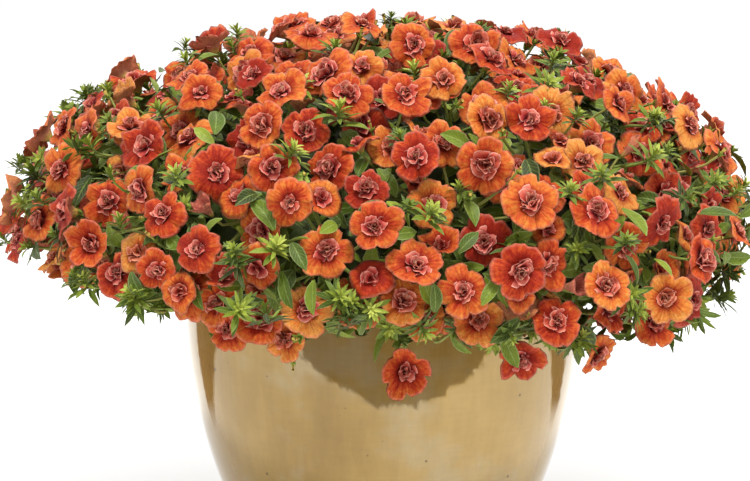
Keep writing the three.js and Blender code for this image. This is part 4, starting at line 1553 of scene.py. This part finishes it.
# %% [markdown]
# ## The potting mix
# Dark peat fills the pot to a little under its rim. Its top is uneven and crumbly, and small crumbs lie
# on it. A turned plug with a wavy top and a planted layer of crumbs give both.

# %% Fill the pot
MIX_TOP, TOP_DIP, TOP_WAVE, WAVE_TURNS = 0.1915, 1.5 * MM, 1.2 * MM, 700
SOIL_GAP = 0.0005
SOIL_SIDES = 72


def mix_finish():
    f = Finish("peat_mix")
    base = f.ramp(f.noise(300, 5, 0.7), ((0.3, "#1c120b"), (0.6, "#3a281a"), (0.8, "#5c4530")))
    f.bump(f.noise(500, 4, 0.7), 0.8, 2 * MM)
    return f.done(base, 0.95, Specular_IOR_Level=0.2)


MIX = mix_finish()
soil_foot = POT["floor"] + SOIL_GAP
soil_outline = [(0.0, soil_foot)]
soil_outline += [(wall_radius(h) - POT["wall"] - SOIL_GAP, h) for h in np.linspace(soil_foot, MIX_TOP, 10)]
soil_outline += [(r, MIX_TOP - TOP_DIP + TOP_WAVE * math.sin(WAVE_TURNS * r))
                 for r in np.linspace(0.12, 0.01, 14)]
soil = turned("potting_mix_fill", soil_outline + [(0.0, MIX_TOP - TOP_DIP)], SOIL_SIDES)
soil.data.materials.append(MIX)
print("the mix reaches to %.1f mm below the rim" % ((POT["height"] - MIX_TOP) / MM))

# %% Crumbs on top
CRUMBS, CRUMB_REACH, CRUMB_SIZE, CRUMB_KINDS = 420, 0.117, (1.2, 3.2), 3
CRUMB_OUTLINE = ((0.0, -0.8), (0.8, -0.3), (0.9, 0.4), (0.0, 0.85))
crumb_dice = np.random.default_rng(9)


def crumb_form(name, seed):
    """A lump of peat: a six-sided stone with uneven corners."""
    dice, lump = np.random.default_rng(seed), turned(name, CRUMB_OUTLINE, 6)
    for v in lump.data.vertices:
        v.co *= dice.uniform(0.7, 1.2)
    return lump


def crumb_spot():
    reach, angle = CRUMB_REACH * math.sqrt(crumb_dice.uniform()), crumb_dice.uniform(0, TURN)
    return {"at": (reach * math.cos(angle), reach * math.sin(angle), MIX_TOP - 1 * MM), "facing": UP,
            "heading": (math.cos(angle * 7), math.sin(angle * 7), 0),
            "size": crumb_dice.uniform(*CRUMB_SIZE) * MM, "form": int(crumb_dice.integers(CRUMB_KINDS)),
            "tone": 0.5, "warm": 0.5}


crumb_forms = forms_of("crumb", CRUMB_KINDS, 0, crumb_form)
crumb_layer = planted("crumbs", [crumb_spot() for _ in range(CRUMBS)], crumb_forms, MIX)
put_away(crumb_forms)
filled = joined("potting_mix_top", [soil, crumb_layer])
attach(filled, "root")
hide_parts("potting_mix")
print("potting mix triangles:", triangles(filled))

# %% [markdown]
# ## Studio
# A pale floor and a pale surround give even light. One large soft lamp high above and a little in front
# models the blooms, and weaker ones at the sides and behind open the shadows. The look of the picture is
# set to plain, so that colours come out as they were mixed.

# %% Floor, world and lamps
FLOOR_REACH, FLOOR_DROP = 30, 0.0005
LAMPS = (("key_lamp", (0.25, -1.0, 2.4), 0.7, 52), ("left_lamp", (-2.2, 0.6, 1.2), 1.2, 10),
         ("right_lamp", (2.2, 0.2, 1.4), 1.2, 10), ("back_lamp", (0.2, 2.2, 1.8), 1.2, 12))  # size, watts


def pale_floor():
    f = Finish("pale_floor")
    shade = f.ramp(f.noise(3, 2), ((0.3, "#f9f9f9"), (0.7, "#fcfcfc")))
    corners = [(x * FLOOR_REACH, y * FLOOR_REACH, -FLOOR_DROP)
               for x, y in ((-1, -1), (1, -1), (1, 1), (-1, 1))]
    floor = piece_of("floor", corners, [(0, 1, 2, 3)], smooth=False)
    floor.data.materials.append(f.done(shade, 0.9))


def pale_room():
    world = bpy.data.worlds.new("pale_room")
    bpy.context.scene.world = world
    world.use_nodes = True
    world.node_tree.nodes["Background"].inputs["Color"].default_value = (1, 1, 1, 1)
    world.node_tree.nodes["Background"].inputs["Strength"].default_value = 1.0


def lamp(name, spot, size, watts):
    light = bpy.data.lights.new(name, "AREA")
    light.shape, light.size, light.energy = "DISK", size, watts
    made = bpy.data.objects.new(name, light)
    made.location = spot
    made.rotation_euler = (AIM - Vector(spot)).to_track_quat("-Z", "Y").to_euler()
    bpy.context.scene.collection.objects.link(made)


pale_floor()
pale_room()
for row in LAMPS:
    lamp(*row)
view = bpy.context.scene.view_settings
view.view_transform, view.look, view.exposure, view.gamma = "Standard", "None", 0.0, 1.0
print("lamps:", [(row[0], row[-1]) for row in LAMPS])

# %% [markdown]
# ## What the glaze mirrors
# A shiny pot shows the room. The glaze shows a dark hollow under the plant and a dark line down each side.
# Three flat cards on the floor, seen in reflections only, put them there. They stand for a dark room past a
# table's edges, and the warm brown of the front card is also painted shade, for the plant's shade on the
# glaze. Their edges are as uneven as the glaze. The dark is kept out of the glaze's own colour.

# %% A dark card
TEETH = ((130, 12), (45, 12), (18, 14), (8, 9))  # distance between teeth and their size, in mm
CARD_ROWS, CARD_HEIGHT = 17, 2
SIDE_FADE, END_FADE = 16, 0.12


def uneven(places, seed):
    """Jagged offsets in mm along an edge: broad swings with finer and finer teeth on them."""
    dice, total = np.random.default_rng(seed), np.zeros(len(places))
    for spacing, size in TEETH:
        corners = np.arange(places[0] - spacing, places[-1] + 2 * spacing, spacing)
        total += np.interp(places, corners, dice.uniform(-size, size, len(corners)))
    return total


def dark_card(name, near, far, dark, light, fades=False):
    """A strip on the floor between two rows of points in mm, seen only in reflections; it can fade at its
    sides and at the end where the rows begin."""
    near, far, count = np.array(near, float), np.array(far, float), len(near)
    across, along = np.linspace(0, 1, CARD_ROWS), np.linspace(0, 1, count)
    flat = np.concatenate([near + (far - near) * share for share in across])
    points = [(x * MM, y * MM, CARD_HEIGHT * MM) for x, y in flat]
    faces = [(r * count + k, r * count + k + 1, (r + 1) * count + k + 1, (r + 1) * count + k)
             for r in range(CARD_ROWS - 1) for k in range(count - 1)]
    shade = np.ones((CARD_ROWS, count))
    if fades:
        shade = (np.minimum(1, SIDE_FADE * np.minimum(across, 1 - across))[:, None]
                 * np.minimum(1, along / END_FADE)[None])
    card = piece_of(name, points, faces, {"shade": shade.ravel()}, smooth=False)
    f = Finish(name)
    # the card's colour as the glaze sees it: a dark room, and on the front card also painted shade
    room = f.ramp(f.noise(2), ((0.3, dark), (0.7, light)))
    card.data.materials.append(f.done(f.mix(f.value("shade"), "#fafafa", room), 1.0))
    card.visible_camera = card.visible_diffuse = card.visible_shadow = card.visible_transmission = False
    return card


print("teeth from %d down to %d mm apart" % (TEETH[0][0], TEETH[-1][0]))

# %% Cards in front and at the sides
FRONT = {"from": -405, "slope": 0.14, "half": 900, "step": 3, "depth": 3000, "seed": 3}
SIDE = {"middle": 156, "spread": 19, "near": 300, "far": 1100, "step": 5, "seed": 7}


def front_card():
    xs = np.arange(-FRONT["half"], FRONT["half"] + 1, FRONT["step"])
    ys = FRONT["from"] + FRONT["slope"] * xs + uneven(xs, FRONT["seed"])
    near = [(-FRONT["depth"], ys[0])] + list(zip(xs, ys)) + [(FRONT["depth"], ys[-1])]
    # warm dark brown: partly painted shade of the plant on the glaze
    return dark_card("room_in_front", near, [(x, -FRONT["depth"]) for x, _ in near], "#3a1e0e", "#4a2814")


def side_card(name, mirror):
    """A wedge that opens outwards, beside and a little behind the pot."""
    reaches = np.arange(SIDE["near"], SIDE["far"], SIDE["step"])
    opening = np.sqrt((reaches - reaches[0]) / (reaches[-1] - reaches[0]))
    rows = []
    for side in (-1, 1):
        angles = np.radians(SIDE["middle"] + side * SIDE["spread"] * opening)
        wobble = uneven(reaches, SIDE["seed"] + side) * opening
        rows.append([(-mirror * (r * math.cos(a) + w), r * math.sin(a))
                     for r, a, w in zip(reaches, angles, wobble)])
    return dark_card(name, rows[0], rows[1], "#7a5838", "#8a6644", fades=True)


cards = [front_card(), side_card("room_left", -1), side_card("room_right", 1)]
print("cards:", {card.name: len(card.data.polygons) for card in cards})

# %% [markdown]
# ## Sizes
# The dressed plant must not outgrow its solids.
